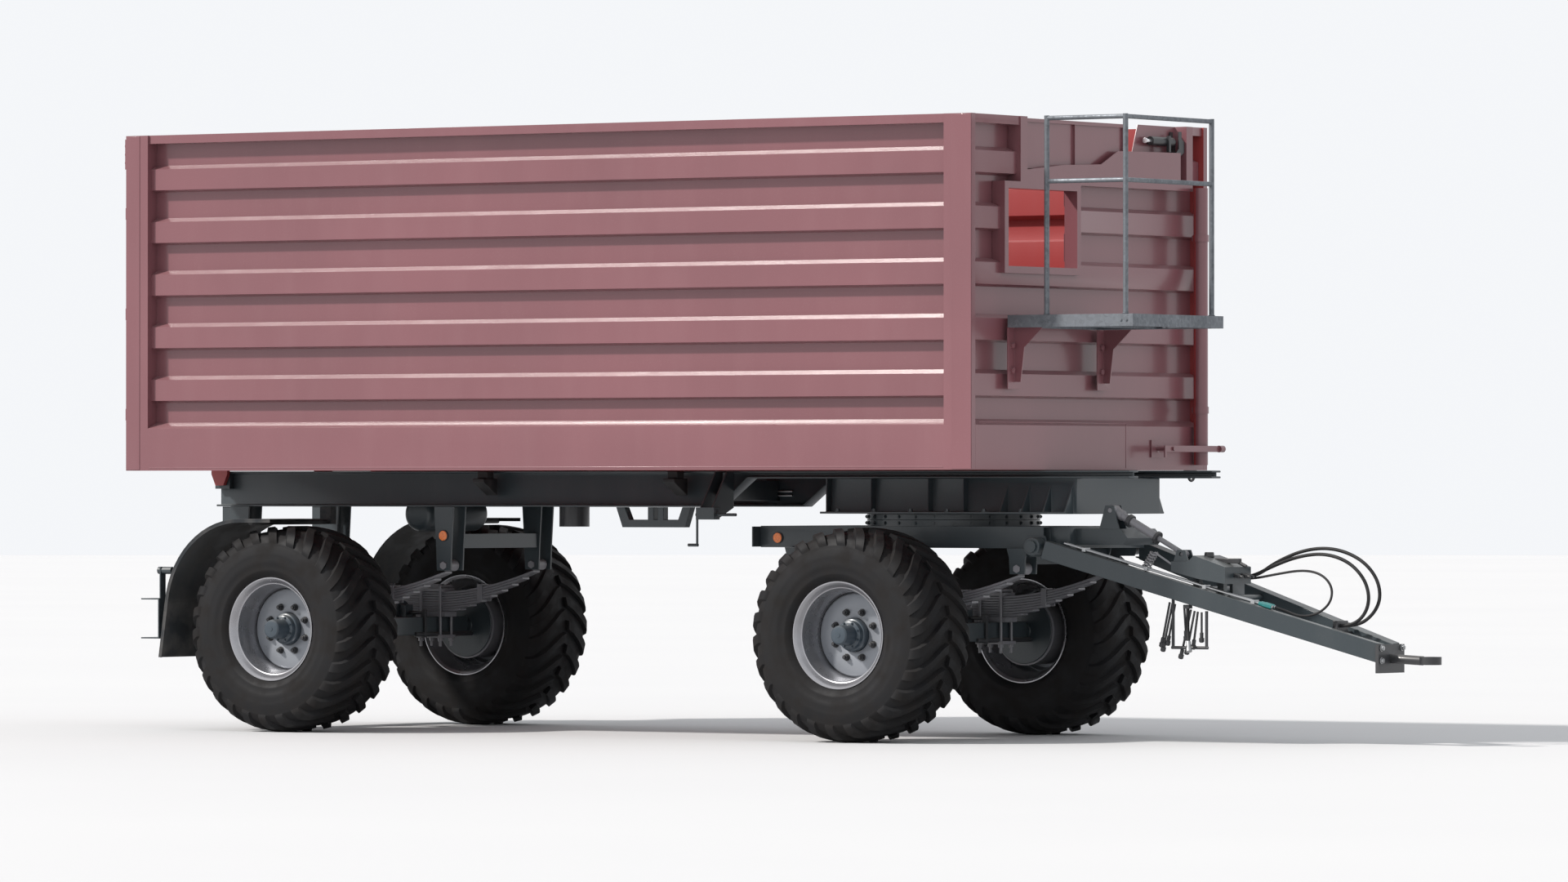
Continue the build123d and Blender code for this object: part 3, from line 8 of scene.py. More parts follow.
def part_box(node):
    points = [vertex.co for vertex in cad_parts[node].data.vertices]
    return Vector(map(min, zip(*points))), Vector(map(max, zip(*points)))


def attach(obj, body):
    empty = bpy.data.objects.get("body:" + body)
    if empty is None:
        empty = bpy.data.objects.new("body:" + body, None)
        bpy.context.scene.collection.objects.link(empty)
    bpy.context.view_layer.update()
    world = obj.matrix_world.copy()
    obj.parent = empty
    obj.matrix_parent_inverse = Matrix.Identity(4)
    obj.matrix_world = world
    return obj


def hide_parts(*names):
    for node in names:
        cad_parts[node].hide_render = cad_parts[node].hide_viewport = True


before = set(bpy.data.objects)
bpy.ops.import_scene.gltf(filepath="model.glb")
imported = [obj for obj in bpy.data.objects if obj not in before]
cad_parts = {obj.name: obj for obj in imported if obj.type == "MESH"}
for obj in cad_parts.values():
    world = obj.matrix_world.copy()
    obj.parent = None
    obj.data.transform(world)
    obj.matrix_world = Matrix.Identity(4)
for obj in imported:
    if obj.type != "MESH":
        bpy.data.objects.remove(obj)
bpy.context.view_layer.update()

bl_info = {
    "name": "Grain cart",
    "version": (1, 0, 0),
    "blender": (4, 5, 0),
    "location": "3D View > Sidebar > Grain cart",
    "description": "Finishes the grain cart: walls, chassis, springs, tyres, wheels, drawbar and hoses",
    "category": "Object",
}

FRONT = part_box("side_wall_left")[1].x
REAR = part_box("side_wall_left")[0].x
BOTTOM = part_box("side_wall_left")[0].z
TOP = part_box("side_wall_left")[1].z
HALF_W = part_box("side_wall_left")[1].y
TYRE_LOW, TYRE_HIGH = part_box("tyre_front_left")
AXLE_Z = (TYRE_LOW.z + TYRE_HIGH.z) / 2
TYRE_R = (TYRE_HIGH.z - TYRE_LOW.z) / 2
WHEEL_Y = (TYRE_LOW.y + TYRE_HIGH.y) / 2
AXLES = {"front": (TYRE_LOW.x + TYRE_HIGH.x) / 2, "rear": sum(c.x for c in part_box("tyre_rear_left")) / 2}
CARRIER = {"front": "steering_bogie", "rear": "chassis"}
SPRING_Y = 0.450
SPRING_HALF = 0.760
SPRING_EYE_Z = 0.985
LEAF_LOW = 0.815


def ahead(x, y, z):
    """Point given by its distance ahead of the body's front face, across and up, in metres."""
    return Vector((FRONT + x, y, z))


# ---------------------------------------------------------------- finishes
def blank(name):
    """New material with only a shader and an output."""
    material = bpy.data.materials.new(name)
    material.use_nodes = True
    tree = material.node_tree
    tree.nodes.clear()
    shader = tree.nodes.new("ShaderNodeBsdfPrincipled")
    output = tree.nodes.new("ShaderNodeOutputMaterial")
    tree.links.new(shader.outputs["BSDF"], output.inputs["Surface"])
    return material, tree, shader


def cloud(tree, scale, detail=4.0, stretch=(1, 1, 1), kind="Noise"):
    """Noise over the object's own coordinates; returns its value."""
    place = tree.nodes.new("ShaderNodeTexCoord")
    mapping = tree.nodes.new("ShaderNodeMapping")
    mapping.inputs["Scale"].default_value = stretch
    tree.links.new(place.outputs["Object"], mapping.inputs["Vector"])
    if kind == "Voronoi":
        texture = tree.nodes.new("ShaderNodeTexVoronoi")
        texture.inputs["Scale"].default_value = scale
        tree.links.new(mapping.outputs["Vector"], texture.inputs["Vector"])
        return texture.outputs["Color"]
    texture = tree.nodes.new("ShaderNodeTexNoise")
    texture.inputs["Scale"].default_value = scale
    texture.inputs["Detail"].default_value = detail
    tree.links.new(mapping.outputs["Vector"], texture.inputs["Vector"])
    return texture.outputs["Fac"]


def spread(tree, value, low, high, to_low=0.0, to_high=1.0):
    """Value stretched from one range to another and held inside it."""
    node = tree.nodes.new("ShaderNodeMapRange")
    for socket, number in zip(("From Min", "From Max", "To Min", "To Max"), (low, high, to_low, to_high)):
        node.inputs[socket].default_value = number
    tree.links.new(value, node.inputs["Value"])
    return node.outputs["Result"]


def blend_colours(tree, factor, first, second):
    """Mix of two colours, each a colour or a socket."""
    node = tree.nodes.new("ShaderNodeMix")
    node.data_type = "RGBA"
    tree.links.new(factor, node.inputs["Factor"])
    for socket, colour in ((node.inputs[6], first), (node.inputs[7], second)):
        if isinstance(colour, bpy.types.NodeSocket):
            tree.links.new(colour, socket)
        else:
            socket.default_value = (*colour, 1)
    return node.outputs[2]


def joined(tree, operation, first, second):
    """Sum or product of two values, held between 0 and 1."""
    node = tree.nodes.new("ShaderNodeMath")
    node.operation = operation
    node.use_clamp = True
    for socket, value in zip(node.inputs, (first, second)):
        if isinstance(value, bpy.types.NodeSocket):
            tree.links.new(value, socket)
        else:
            socket.default_value = value
    return node.outputs["Value"]


def bumped(tree, shader, height, strength, distance):
    """Surface relief from a height value."""
    node = tree.nodes.new("ShaderNodeBump")
    node.inputs["Strength"].default_value = strength
    node.inputs["Distance"].default_value = distance
    tree.links.new(height, node.inputs["Height"])
    tree.links.new(node.outputs["Normal"], shader.inputs["Normal"])


def facing_up(tree):
    """How far the surface faces up, from 0 to 1."""
    geometry = tree.nodes.new("ShaderNodeNewGeometry")
    split = tree.nodes.new("ShaderNodeSeparateXYZ")
    tree.links.new(geometry.outputs["Normal"], split.inputs["Vector"])
    return spread(tree, split.outputs["Z"], 0.25, 0.95)


def paint(name, colour, dust_colour, rough=0.38, dust=0.5, metallic=0.0, coat=0.2, grain=70.0):
    """Sprayed paint with uneven tone, pale dust on upward faces that is partly a painted highlight, runs of
    dirt and fine orange peel.
    """
    material, tree, shader = blank(name)
    tone = spread(tree, cloud(tree, 0.9, 5), 0.3, 0.7)
    runs = spread(tree, cloud(tree, 2.2, 6, (3.2, 3.2, 0.45)), 0.46, 0.78)
    specks = spread(tree, cloud(tree, grain * 1.6, 2), 0.60, 0.72)
    base = blend_colours(tree, tone, [c * 0.92 for c in colour], [min(1, c * 1.07) for c in colour])
    # Upward faces mix towards the pale dust colour: partly settled dust, partly a painted highlight on the
    # tops.
    dust_and_top_highlight = joined(tree, "MULTIPLY", facing_up(tree), spread(tree, cloud(tree, 6, 5), 0.3, 0.6, 0.45, 1))
    film = joined(tree, "MULTIPLY", runs, 0.16)
    dirt = joined(tree, "ADD", joined(tree, "ADD", dust_and_top_highlight, film), joined(tree, "MULTIPLY", specks, 0.18))
    dirt = joined(tree, "MULTIPLY", dirt, dust)
    # The pale colour mixed in here is dust, and on upward faces it is also a painted highlight.
    tree.links.new(blend_colours(tree, dirt, base, dust_colour), shader.inputs["Base Color"])
    tree.links.new(spread(tree, dirt, 0, 0.6, rough, min(1, rough + 0.32)), shader.inputs["Roughness"])
    shader.inputs["Metallic"].default_value = metallic
    shader.inputs["Coat Weight"].default_value = coat
    shader.inputs["Coat Roughness"].default_value = 0.14
    bumped(tree, shader, cloud(tree, grain, 3), 0.12, 0.0015)
    return material


def rubber(name, colour, dust_colour, rough=0.62, dust=0.5, grain=160.0):
    """Rubber with pale dust in broad patches."""
    material, tree, shader = blank(name)
    tone = spread(tree, cloud(tree, 3.5, 6), 0.3, 0.72)
    dirt = joined(tree, "MULTIPLY", spread(tree, cloud(tree, 9, 7), 0.40, 0.68), dust)
    shader.inputs["Specular IOR Level"].default_value = 0.22
    base = blend_colours(tree, tone, [c * 0.75 for c in colour], [c * 1.35 for c in colour])
    tree.links.new(blend_colours(tree, dirt, base, dust_colour), shader.inputs["Base Color"])
    tree.links.new(spread(tree, dirt, 0, 0.5, rough, 0.92), shader.inputs["Roughness"])
    bumped(tree, shader, cloud(tree, grain, 4), 0.25, 0.001)
    return material


def bare_metal(name, colour, rough=0.4, spangle=0.0, grain=90.0, metallic=0.9):
    """Zinc, galvanised or polished metal; spangle is the strength of its crystal pattern."""
    material, tree, shader = blank(name)
    cells = tree.nodes.new("ShaderNodeSeparateColor")
    tree.links.new(cloud(tree, 55, kind="Voronoi"), cells.inputs["Color"])
    pattern = joined(tree, "MULTIPLY", cells.outputs["Red"], spangle)
    stain = joined(tree, "MULTIPLY", spread(tree, cloud(tree, 5, 6), 0.42, 0.75), 0.45)
    base = blend_colours(tree, pattern, colour, [c * 0.62 for c in colour])
    tree.links.new(blend_colours(tree, stain, base, [c * 0.55 for c in colour]), shader.inputs["Base Color"])
    tree.links.new(spread(tree, joined(tree, "ADD", stain, pattern), 0, 0.8, rough, min(1, rough + 0.3)),
                   shader.inputs["Roughness"])
    shader.inputs["Metallic"].default_value = metallic
    bumped(tree, shader, cloud(tree, grain, 3), 0.08, 0.0008)
    return material


def lens(name, colour):
    """Moulded lamp or reflector lens with small prisms."""
    material, tree, shader = blank(name)
    cells = tree.nodes.new("ShaderNodeSeparateColor")
    tree.links.new(cloud(tree, 190, kind="Voronoi"), cells.inputs["Color"])
    tree.links.new(blend_colours(tree, cells.outputs["Red"], [c * 0.7 for c in colour], colour),
                   shader.inputs["Base Color"])
    shader.inputs["Roughness"].default_value = 0.16
    shader.inputs["Coat Weight"].default_value = 0.6
    bumped(tree, shader, cells.outputs["Green"], 0.35, 0.002)
    return material


FINISHES = {}


def finish(name):
    """The cart's finishes, made once from the colours in the sidebar."""
    if not FINISHES:
        tone = bpy.context.scene.grain_cart_colours
        # The dust colours go on the dust masks of paint(); on upward faces they also paint a highlight.
        dust, pale_dust_and_highlight = tuple(tone.dust), tuple(tone.body_dust_and_highlight)
        FINISHES.update({
            "body_paint": paint("body_rose_paint", tuple(tone.body), pale_dust_and_highlight, 0.32, 0.45, coat=0.5),
            "inner_paint": paint("body_inner_paint", tuple(tone.inside), pale_dust_and_highlight, 0.42, 0.25, coat=0.1),
            "chassis_paint": paint("chassis_slate_paint", tuple(tone.chassis), dust, 0.40, 0.22),
            "dark_paint": paint("fitting_black_paint", (0.022, 0.023, 0.026), dust, 0.45, 0.25),
            "spring_paint": paint("spring_grey_paint", (0.17, 0.17, 0.185), dust, 0.40, 0.40),
            "hub_paint": paint("hub_slate_paint", (0.030, 0.045, 0.060), dust, 0.38, 0.25),
            "disc_paint": paint("disc_grey_paint", (0.22, 0.235, 0.26), dust, 0.36, 0.35, 0.25),
            "rim_paint": bare_metal("rim_silver", (0.36, 0.36, 0.38), 0.24, 0.0, 60, 0.8),
            "galvanised": bare_metal("galvanised_steel", (0.17, 0.185, 0.205), 0.42, 0.5, metallic=0.6),
            "steel": bare_metal("zinc_plated_steel", (0.42, 0.43, 0.44), 0.33, 0.1),
            "chrome_rod": bare_metal("polished_rod", (0.80, 0.80, 0.82), 0.12, 0.0),
            "rubber": rubber("hose_rubber", (0.012, 0.012, 0.013), (0.10, 0.10, 0.10), 0.45, 0.25),
            "tyre": rubber("tyre_rubber", tuple(tone.tyre), tuple(tone.tyre_dust), 0.60, 0.50),
            "mudguard": rubber("mudguard_skin", (0.022, 0.025, 0.028), (0.16, 0.15, 0.14), 0.5, 0.35),
            "amber_lens": lens("amber_lens", (0.85, 0.20, 0.02)),
            "red_lens": lens("red_lens", (0.42, 0.015, 0.01)),
            "teal_paint": paint("teal_joint", (0.01, 0.16, 0.16), dust, 0.35, 0.15),
        })
    return FINISHES[name]


# ---------------------------------------------------------------- shaping helpers
def piece(name, bm, finish_name, body, stands_for=(), smooth=35, bevel=0.0, segments=2):
    """Object from a mesh under construction, with its finish, riding on a body."""
    mesh = bpy.data.meshes.new(name)
    bm.to_mesh(mesh)
    bm.free()
    thing = bpy.data.objects.new(name, mesh)
    bpy.context.scene.collection.objects.link(thing)
    mesh.materials.append(finish(finish_name))
    if bevel:
        rounding = thing.modifiers.new("rounded_edges", "BEVEL")
        rounding.width = bevel
        rounding.segments = segments
        rounding.limit_method = "ANGLE"
        rounding.angle_limit = radians(32)
        rounding.use_clamp_overlap = True
    for face in mesh.polygons:
        face.use_smooth = True
    mesh.set_sharp_from_angle(angle=radians(smooth))
    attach(thing, body)
    if stands_for:
        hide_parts(*stands_for)
    return thing


def softened(name, node, body, finish_name, bevel=0.003, segments=2):
    """Copy of a CAD node with merged facets and rounded edges, standing for it."""
    bm = bmesh.new()
    bm.from_mesh(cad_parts[node].data)
    bmesh.ops.remove_doubles(bm, verts=bm.verts, dist=0.00002)
    bmesh.ops.dissolve_limit(bm, angle_limit=radians(0.6), verts=bm.verts, edges=bm.edges)
    return piece(name, bm, finish_name, body, [node], bevel=bevel, segments=segments)


def second_finish(thing, finish_name, chosen):
    """Give another finish to the faces that a test picks."""
    thing.data.materials.append(finish(finish_name))
    for face in thing.data.polygons:
        if chosen(face):
            face.material_index = len(thing.data.materials) - 1


def turned(direction):
    """Matrix that turns +Z to a direction."""
    return Vector(direction).normalized().to_track_quat("Z", "Y").to_matrix().to_4x4()


def add_rod(bm, start, end, radius, radius_end=None, sides=20):
    """Round bar or cone between two points."""
    start, end = Vector(start), Vector(end)
    place = Matrix.Translation((start + end) / 2) @ turned(end - start)
    bmesh.ops.create_cone(bm, cap_ends=True, segments=sides, radius1=radius,
                          radius2=radius if radius_end is None else radius_end,
                          depth=(end - start).length, matrix=place)


def add_slab(bm, corner, opposite):
    """Rectangular bar between two opposite corners."""
    low, high = (Vector([pick(pair) for pair in zip(corner, opposite)]) for pick in (min, max))
    size = high - low
    place = Matrix.Translation((low + high) / 2) @ Matrix.Diagonal((size.x, size.y, size.z, 1))
    bmesh.ops.create_cube(bm, size=1, matrix=place)


def add_bolt(bm, at, direction, across=0.024, height=0.013):
    """Hexagon head on a washer, seated at a point."""
    at, way = Vector(at), Vector(direction).normalized()
    add_rod(bm, at, at + way * 0.003, across * 0.72, sides=20)
    add_rod(bm, at + way * 0.003, at + way * (0.003 + height), across * 0.56, sides=6)
    add_rod(bm, at + way * (0.003 + height), at + way * (0.006 + height), across * 0.30, sides=12)


def add_ring(bm, centre, axis, radius, bar, sides=32):
    """Ring of round bar, spun from a small circle."""
    made = bmesh.ops.create_circle(bm, segments=10, radius=bar)["verts"]
    place = Matrix.Translation(centre) @ turned(axis) @ Matrix.Translation((radius, 0, 0))
    place = place @ Matrix.Rotation(pi / 2, 4, "X")
    bmesh.ops.transform(bm, matrix=place, verts=made)
    edges = list(dict.fromkeys(edge for vert in made for edge in vert.link_edges))
    way = (turned(axis) @ Vector((0, 0, 1, 0))).to_3d()
    bmesh.ops.spin(bm, geom=made + edges, cent=centre, axis=way, angle=2 * pi, steps=sides, use_merge=True)


def add_sweep(bm, sections):
    """Bar extruded from its first section through the others, each a list of the same number of points."""
    face = bm.faces.new([bm.verts.new(point) for point in sections[0]])
    for section in sections[1:]:
        made = bmesh.ops.extrude_face_region(bm, geom=[face, *face.edges])["geom"]
        face = next(item for item in made if isinstance(item, bmesh.types.BMFace))
        for vert, point in zip(face.verts, section):
            vert.co = point


def add_lathe(bm, profile, centre, mirror=1, steps=72, closed=True):
    """Shape spun about an axle from its section, given as (outward from the wheel's middle, radius)."""
    verts = [bm.verts.new((centre[0], centre[1] + mirror * y, centre[2] + r)) for y, r in profile]
    pairs = list(zip(verts, verts[1:])) + ([(verts[-1], verts[0])] if closed else [])
    edges = [bm.edges.new(pair) for pair in pairs]
    bmesh.ops.spin(bm, geom=verts + edges, cent=centre, axis=(0, 1, 0), angle=2 * pi, steps=steps,
                   use_merge=True)
    bmesh.ops.remove_doubles(bm, verts=bm.verts, dist=0.00001)
    bmesh.ops.recalc_face_normals(bm, faces=bm.faces)


def wheels():
    """Each wheel's place, the centre of its tyre, and the side it is on: 1 on the left, -1 on the right."""
    for place, x in AXLES.items():
        for side, mirror in (("left", 1), ("right", -1)):
            yield f"{place}_{side}", Vector((x, mirror * WHEEL_Y, AXLE_Z)), mirror


def on_wheel(centre, radius, angle, out):
    """Point at a radius and an angle about a wheel's axle, and out along it."""
    return centre + Vector((radius * cos(angle), out, radius * sin(angle)))


# ---------------------------------------------------------------- hoses
OUTER_HOSE = [(0.966, 0.062, 0.940), (1.050, 0.062, 0.940), (1.195, 0.057, 1.030), (1.390, 0.050, 1.100),
              (1.580, 0.042, 1.108), (1.752, 0.036, 1.050), (1.860, 0.030, 0.950), (1.892, 0.026, 0.835),
              (1.850, 0.024, 0.742), (1.750, 0.024, 0.672), (1.660, 0.024, 0.672)]
INNER_HOSE = [(0.966, 0.020, 0.940), (1.050, 0.020, 0.940), (1.195, 0.012, 1.005), (1.375, 0.002, 1.062),
              (1.550, -0.006, 1.078), (1.705, -0.012, 1.032), (1.805, -0.016, 0.942), (1.842, -0.020, 0.848),
              (1.832, -0.022, 0.768), (1.786, -0.025, 0.704), (1.714, -0.026, 0.672), (1.660, -0.026, 0.672)]
SMALL_HOSE = [(0.966, -0.025, 0.930), (1.080, -0.025, 0.930), (1.250, -0.034, 0.960), (1.430, -0.048, 0.985),
              (1.560, -0.062, 0.962), (1.640, -0.080, 0.890), (1.640, -0.100, 0.800), (1.570, -0.130, 0.735),
              (1.475, -0.160, 0.722), (1.401, -0.1932, 0.756), (1.341, -0.2065, 0.7738)]
HANGING_HOSE = [(0.842, -0.330, 0.765), (0.842, -0.330, 0.700), (0.850, -0.345, 0.640),
                (0.868, -0.366, 0.580)]


def lay_hose(name, route, diameter, node):
    """Hose along its route as one smooth line."""
    curve = bpy.data.curves.new(name, "CURVE")
    curve.dimensions = "3D"
    curve.bevel_depth = diameter / 2
    curve.bevel_resolution = 5
    curve.use_fill_caps = True
    line = curve.splines.new("NURBS")
    line.points.add(len(route) - 1)
    for point, place in zip(line.points, route):
        point.co = (*ahead(*place), 1)
    line.order_u = 3
    line.use_endpoint_u = True
    line.resolution_u = 14
    curve.materials.append(finish("rubber"))
    hose = bpy.data.objects.new(name, curve)
    bpy.context.scene.collection.objects.link(hose)
    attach(hose, "drawbar")
    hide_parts(node)
    return hose


# ---------------------------------------------------------------- settings
class GrainCartColours(bpy.types.PropertyGroup):
    """Colours of the cart's finishes"""

    body: bpy.props.FloatVectorProperty(
        name="Body", description="Paint of the tipping body", subtype="COLOR", size=3, min=0, max=1,
        default=(0.170, 0.062, 0.073))
    # Mixed into the body paint where dust lies, and on upward faces as a painted highlight.
    body_dust_and_highlight: bpy.props.FloatVectorProperty(
        name="Body, faded", description="Paint of the tipping body where dust and sun have paled it",
        subtype="COLOR", size=3, min=0, max=1, default=(0.27, 0.150, 0.160))
    inside: bpy.props.FloatVectorProperty(
        name="Inside", description="Paint on the inner faces of the tipping body", subtype="COLOR", size=3,
        min=0, max=1, default=(0.30, 0.040, 0.040))
    chassis: bpy.props.FloatVectorProperty(
        name="Chassis", description="Paint of the chassis, bogie and drawbar", subtype="COLOR", size=3,
        min=0, max=1, default=(0.024, 0.034, 0.040))
    tyre: bpy.props.FloatVectorProperty(
        name="Tyre", description="Rubber of the tyres", subtype="COLOR", size=3, min=0, max=1,
        default=(0.0065, 0.0065, 0.0075))
    tyre_dust: bpy.props.FloatVectorProperty(
        name="Tyre, dusty", description="Dust on the tyres", subtype="COLOR", size=3, min=0, max=1,
        default=(0.019, 0.0165, 0.015))
    dust: bpy.props.FloatVectorProperty(
        name="Dust", description="Dust that settles on painted parts", subtype="COLOR", size=3, min=0, max=1,
        default=(0.24, 0.23, 0.21))


class GrainCartSizes(bpy.types.PropertyGroup):
    """Sizes of the parts that are made here"""

    lug_count: bpy.props.IntProperty(
        name="Lugs per side", description="Tread lugs on each half of a tyre", default=26, min=12, max=40)
    lug_height: bpy.props.FloatProperty(
        name="Lug height", description="Depth of the tread", default=0.026, min=0.005, max=0.05,
        unit="LENGTH")
    lug_width: bpy.props.FloatProperty(
        name="Lug width", description="Width of one lug across its length", default=0.058, min=0.02, max=0.1,
        unit="LENGTH")
    leaf_thickness: bpy.props.FloatProperty(
        name="Leaf thickness", description="Thickness of one spring leaf", default=0.0135, min=0.005,
        max=0.02, unit="LENGTH")
    hose_diameter: bpy.props.FloatProperty(
        name="Hose diameter", description="Outside diameter of the brake hoses", default=0.020, min=0.01,
        max=0.03, unit="LENGTH")
    small_hose_diameter: bpy.props.FloatProperty(
        name="Small hose diameter", description="Outside diameter of the oil hose", default=0.014, min=0.008,
        max=0.03, unit="LENGTH")


class GrainCartStage(bpy.types.PropertyGroup):
    """Camera and light"""

    lens: bpy.props.FloatProperty(
        name="Lens", description="Focal length of the camera in millimetres", default=205, min=20, max=400)
    key: bpy.props.FloatProperty(
        name="Key light", description="Strength of the light behind the cart's right side", default=4.2,
        min=0, max=20)
    fill: bpy.props.FloatProperty(
        name="Surrounding light", description="Strength of the light from all round", default=1.0, min=0,
        max=5)


# ---------------------------------------------------------------- operators
class MakeStage(bpy.types.Operator):
    """Make the floor, the lights and the camera"""

    bl_idname = "grain_cart.make_stage"
    bl_label = "Stage"

    def execute(self, context):
        settings = context.scene.grain_cart_stage
        world = bpy.data.worlds.new("studio")
        world.use_nodes = True
        sky = world.node_tree.nodes["Background"]
        sky.inputs["Color"].default_value = (0.91, 0.925, 0.95, 1)
        sky.inputs["Strength"].default_value = settings.fill
        context.scene.world = world
        context.scene.view_settings.view_transform = "Standard"

        bm = bmesh.new()
        bmesh.ops.create_circle(bm, cap_ends=True, segments=96, radius=140)
        mesh = bpy.data.meshes.new("floor")
        bm.to_mesh(mesh)
        bm.free()
        floor = bpy.data.objects.new("floor", mesh)
        context.scene.collection.objects.link(floor)
        material, tree, shader = blank("pale_floor")
        shade = blend_colours(tree, cloud(tree, 0.2, 2), (0.515, 0.52, 0.53), (0.545, 0.55, 0.555))
        tree.links.new(shade, shader.inputs["Base Color"])
        shader.inputs["Roughness"].default_value = 0.9
        mesh.materials.append(material)

        sun = bpy.data.lights.new("key", "SUN")
        sun.energy = settings.key
        sun.angle = radians(4)
        sun.color = (1.0, 0.955, 0.91)
        key = bpy.data.objects.new("key", sun)
        towards_sun = Vector((-0.52, -0.57, 0.64))
        key.rotation_euler = towards_sun.to_track_quat("Z", "Y").to_euler()
        context.scene.collection.objects.link(key)

        data = bpy.data.cameras.new("camera")
        data.lens = settings.lens
        data.clip_end = 400
        camera = bpy.data.objects.new("camera", data)
        camera.location = (FRONT + 26.991, -43.398, 1.447)
        aim = Vector((FRONT - 2.12, 0, 1.72))
        camera.rotation_euler = (aim - camera.location).to_track_quat("-Z", "Y").to_euler()
        context.scene.collection.objects.link(camera)
        context.scene.camera = camera
        return {"FINISHED"}


class MakeHoses(bpy.types.Operator):
    """Make the brake and oil hoses on the drawbar, with their clamps and coupling"""

    bl_idname = "grain_cart.make_hoses"
    bl_label = "Hoses"

    def execute(self, context):
        sizes = context.scene.grain_cart_sizes
        coupling = softened("hose_coupling_body", "hose_coupling", "drawbar", "steel", bevel=0.001)
        lay_hose("brake_hose_outer", OUTER_HOSE, sizes.hose_diameter, "hose_outer")
        lay_hose("brake_hose_inner", INNER_HOSE, sizes.hose_diameter, "hose_inner")
        lay_hose("oil_hose", SMALL_HOSE, sizes.small_hose_diameter, "hose_small")
        lay_hose("parked_hose", HANGING_HOSE, sizes.hose_diameter, "hose_hanging")
        softened("hose_clamp_blocks", "hose_clamps", "drawbar", "dark_paint", bevel=0.003)
        return {"FINISHED"}


class MakeTyres(bpy.types.Operator):
    """Make the four tyres with their chevron lugs"""

    bl_idname = "grain_cart.make_tyres"
    bl_label = "Tyres"

    def execute(self, context):
        sizes = context.scene.grain_cart_sizes
        for place, centre, _ in wheels():
            bm = bmesh.new()
            self.carcass(bm, centre, sizes.lug_height)
            self.tread(bm, centre, sizes)
            bmesh.ops.recalc_face_normals(bm, faces=bm.faces)
            piece(f"tyre_{place}_tread", bm, "tyre", f"wheel_{place}", [f"tyre_{place}"], smooth=38)
        return {"FINISHED"}

    @staticmethod
    def carcass(bm, centre, lug_height):
        """Casing with its shoulders, sidewall rings and beads."""
        base = TYRE_R - lug_height
        crown = [(0.0, base), (0.10, base), (0.175, base - 0.004), (0.222, base - 0.016)]
        shoulder = [(0.250, base - 0.040), (0.262, base - 0.068), (0.2655, base - 0.074),
                    (0.2655, base - 0.080), (0.268, base - 0.090)]
        sidewall = [(0.2725, 0.455), (0.2735, 0.440), (0.2715, 0.425), (0.2735, 0.410), (0.270, 0.385),
                    (0.262, 0.360), (0.2635, 0.352), (0.2605, 0.344)]
        bead = [(0.2520, 0.330), (0.2420, 0.316), (0.2300, 0.306), (0.2240, 0.2945)]
        half = crown + shoulder + sidewall + bead
        inner = [(0.200, 0.291), (0.235, 0.360), (0.250, 0.440), (0.235, 0.520), (0.180, 0.556),
                 (0.0, 0.562)]
        far = [(-y, r) for y, r in inner[:-1][::-1] + half[1:][::-1]]
        add_lathe(bm, half + inner + far, centre, steps=104)

    @staticmethod
    def tread(bm, centre, sizes):
        """Curved lugs that meet as chevrons along the middle."""
        crown = [(0.012, 0.0, 0.0), (0.060, 0.0, 0.10), (0.110, 0.0, 0.26), (0.155, 0.003, 0.42),
                 (0.195, 0.009, 0.57), (0.228, 0.020, 0.70), (0.252, 0.040, 0.80), (0.2655, 0.070, 0.87),
                 (0.2695, 0.088, 0.90)]
        pitch = 2 * pi / sizes.lug_count
        for side in (1, -1):
            for i in range(sizes.lug_count):
                start = (i + (0.5 if side < 0 else 0)) * pitch
                sections = []
                for k, (across, drop, lean) in enumerate(crown):
                    high = TYRE_R - drop
                    low = high - sizes.lug_height - 0.006
                    wide = sizes.lug_width / 2 * (1.0 + 0.22 * min(1, k / 5))
                    section = []
                    for turn, radius in ((-1.22, low), (-0.86, high), (0.86, high), (1.22, low)):
                        a = start - lean * 0.36 + turn * wide / TYRE_R
                        inset = 0.010 if radius == low and k > 5 else 0.0
                        section.append(on_wheel(centre, radius, a, side * (across - inset)))
                    sections.append(section)
                add_sweep(bm, sections)


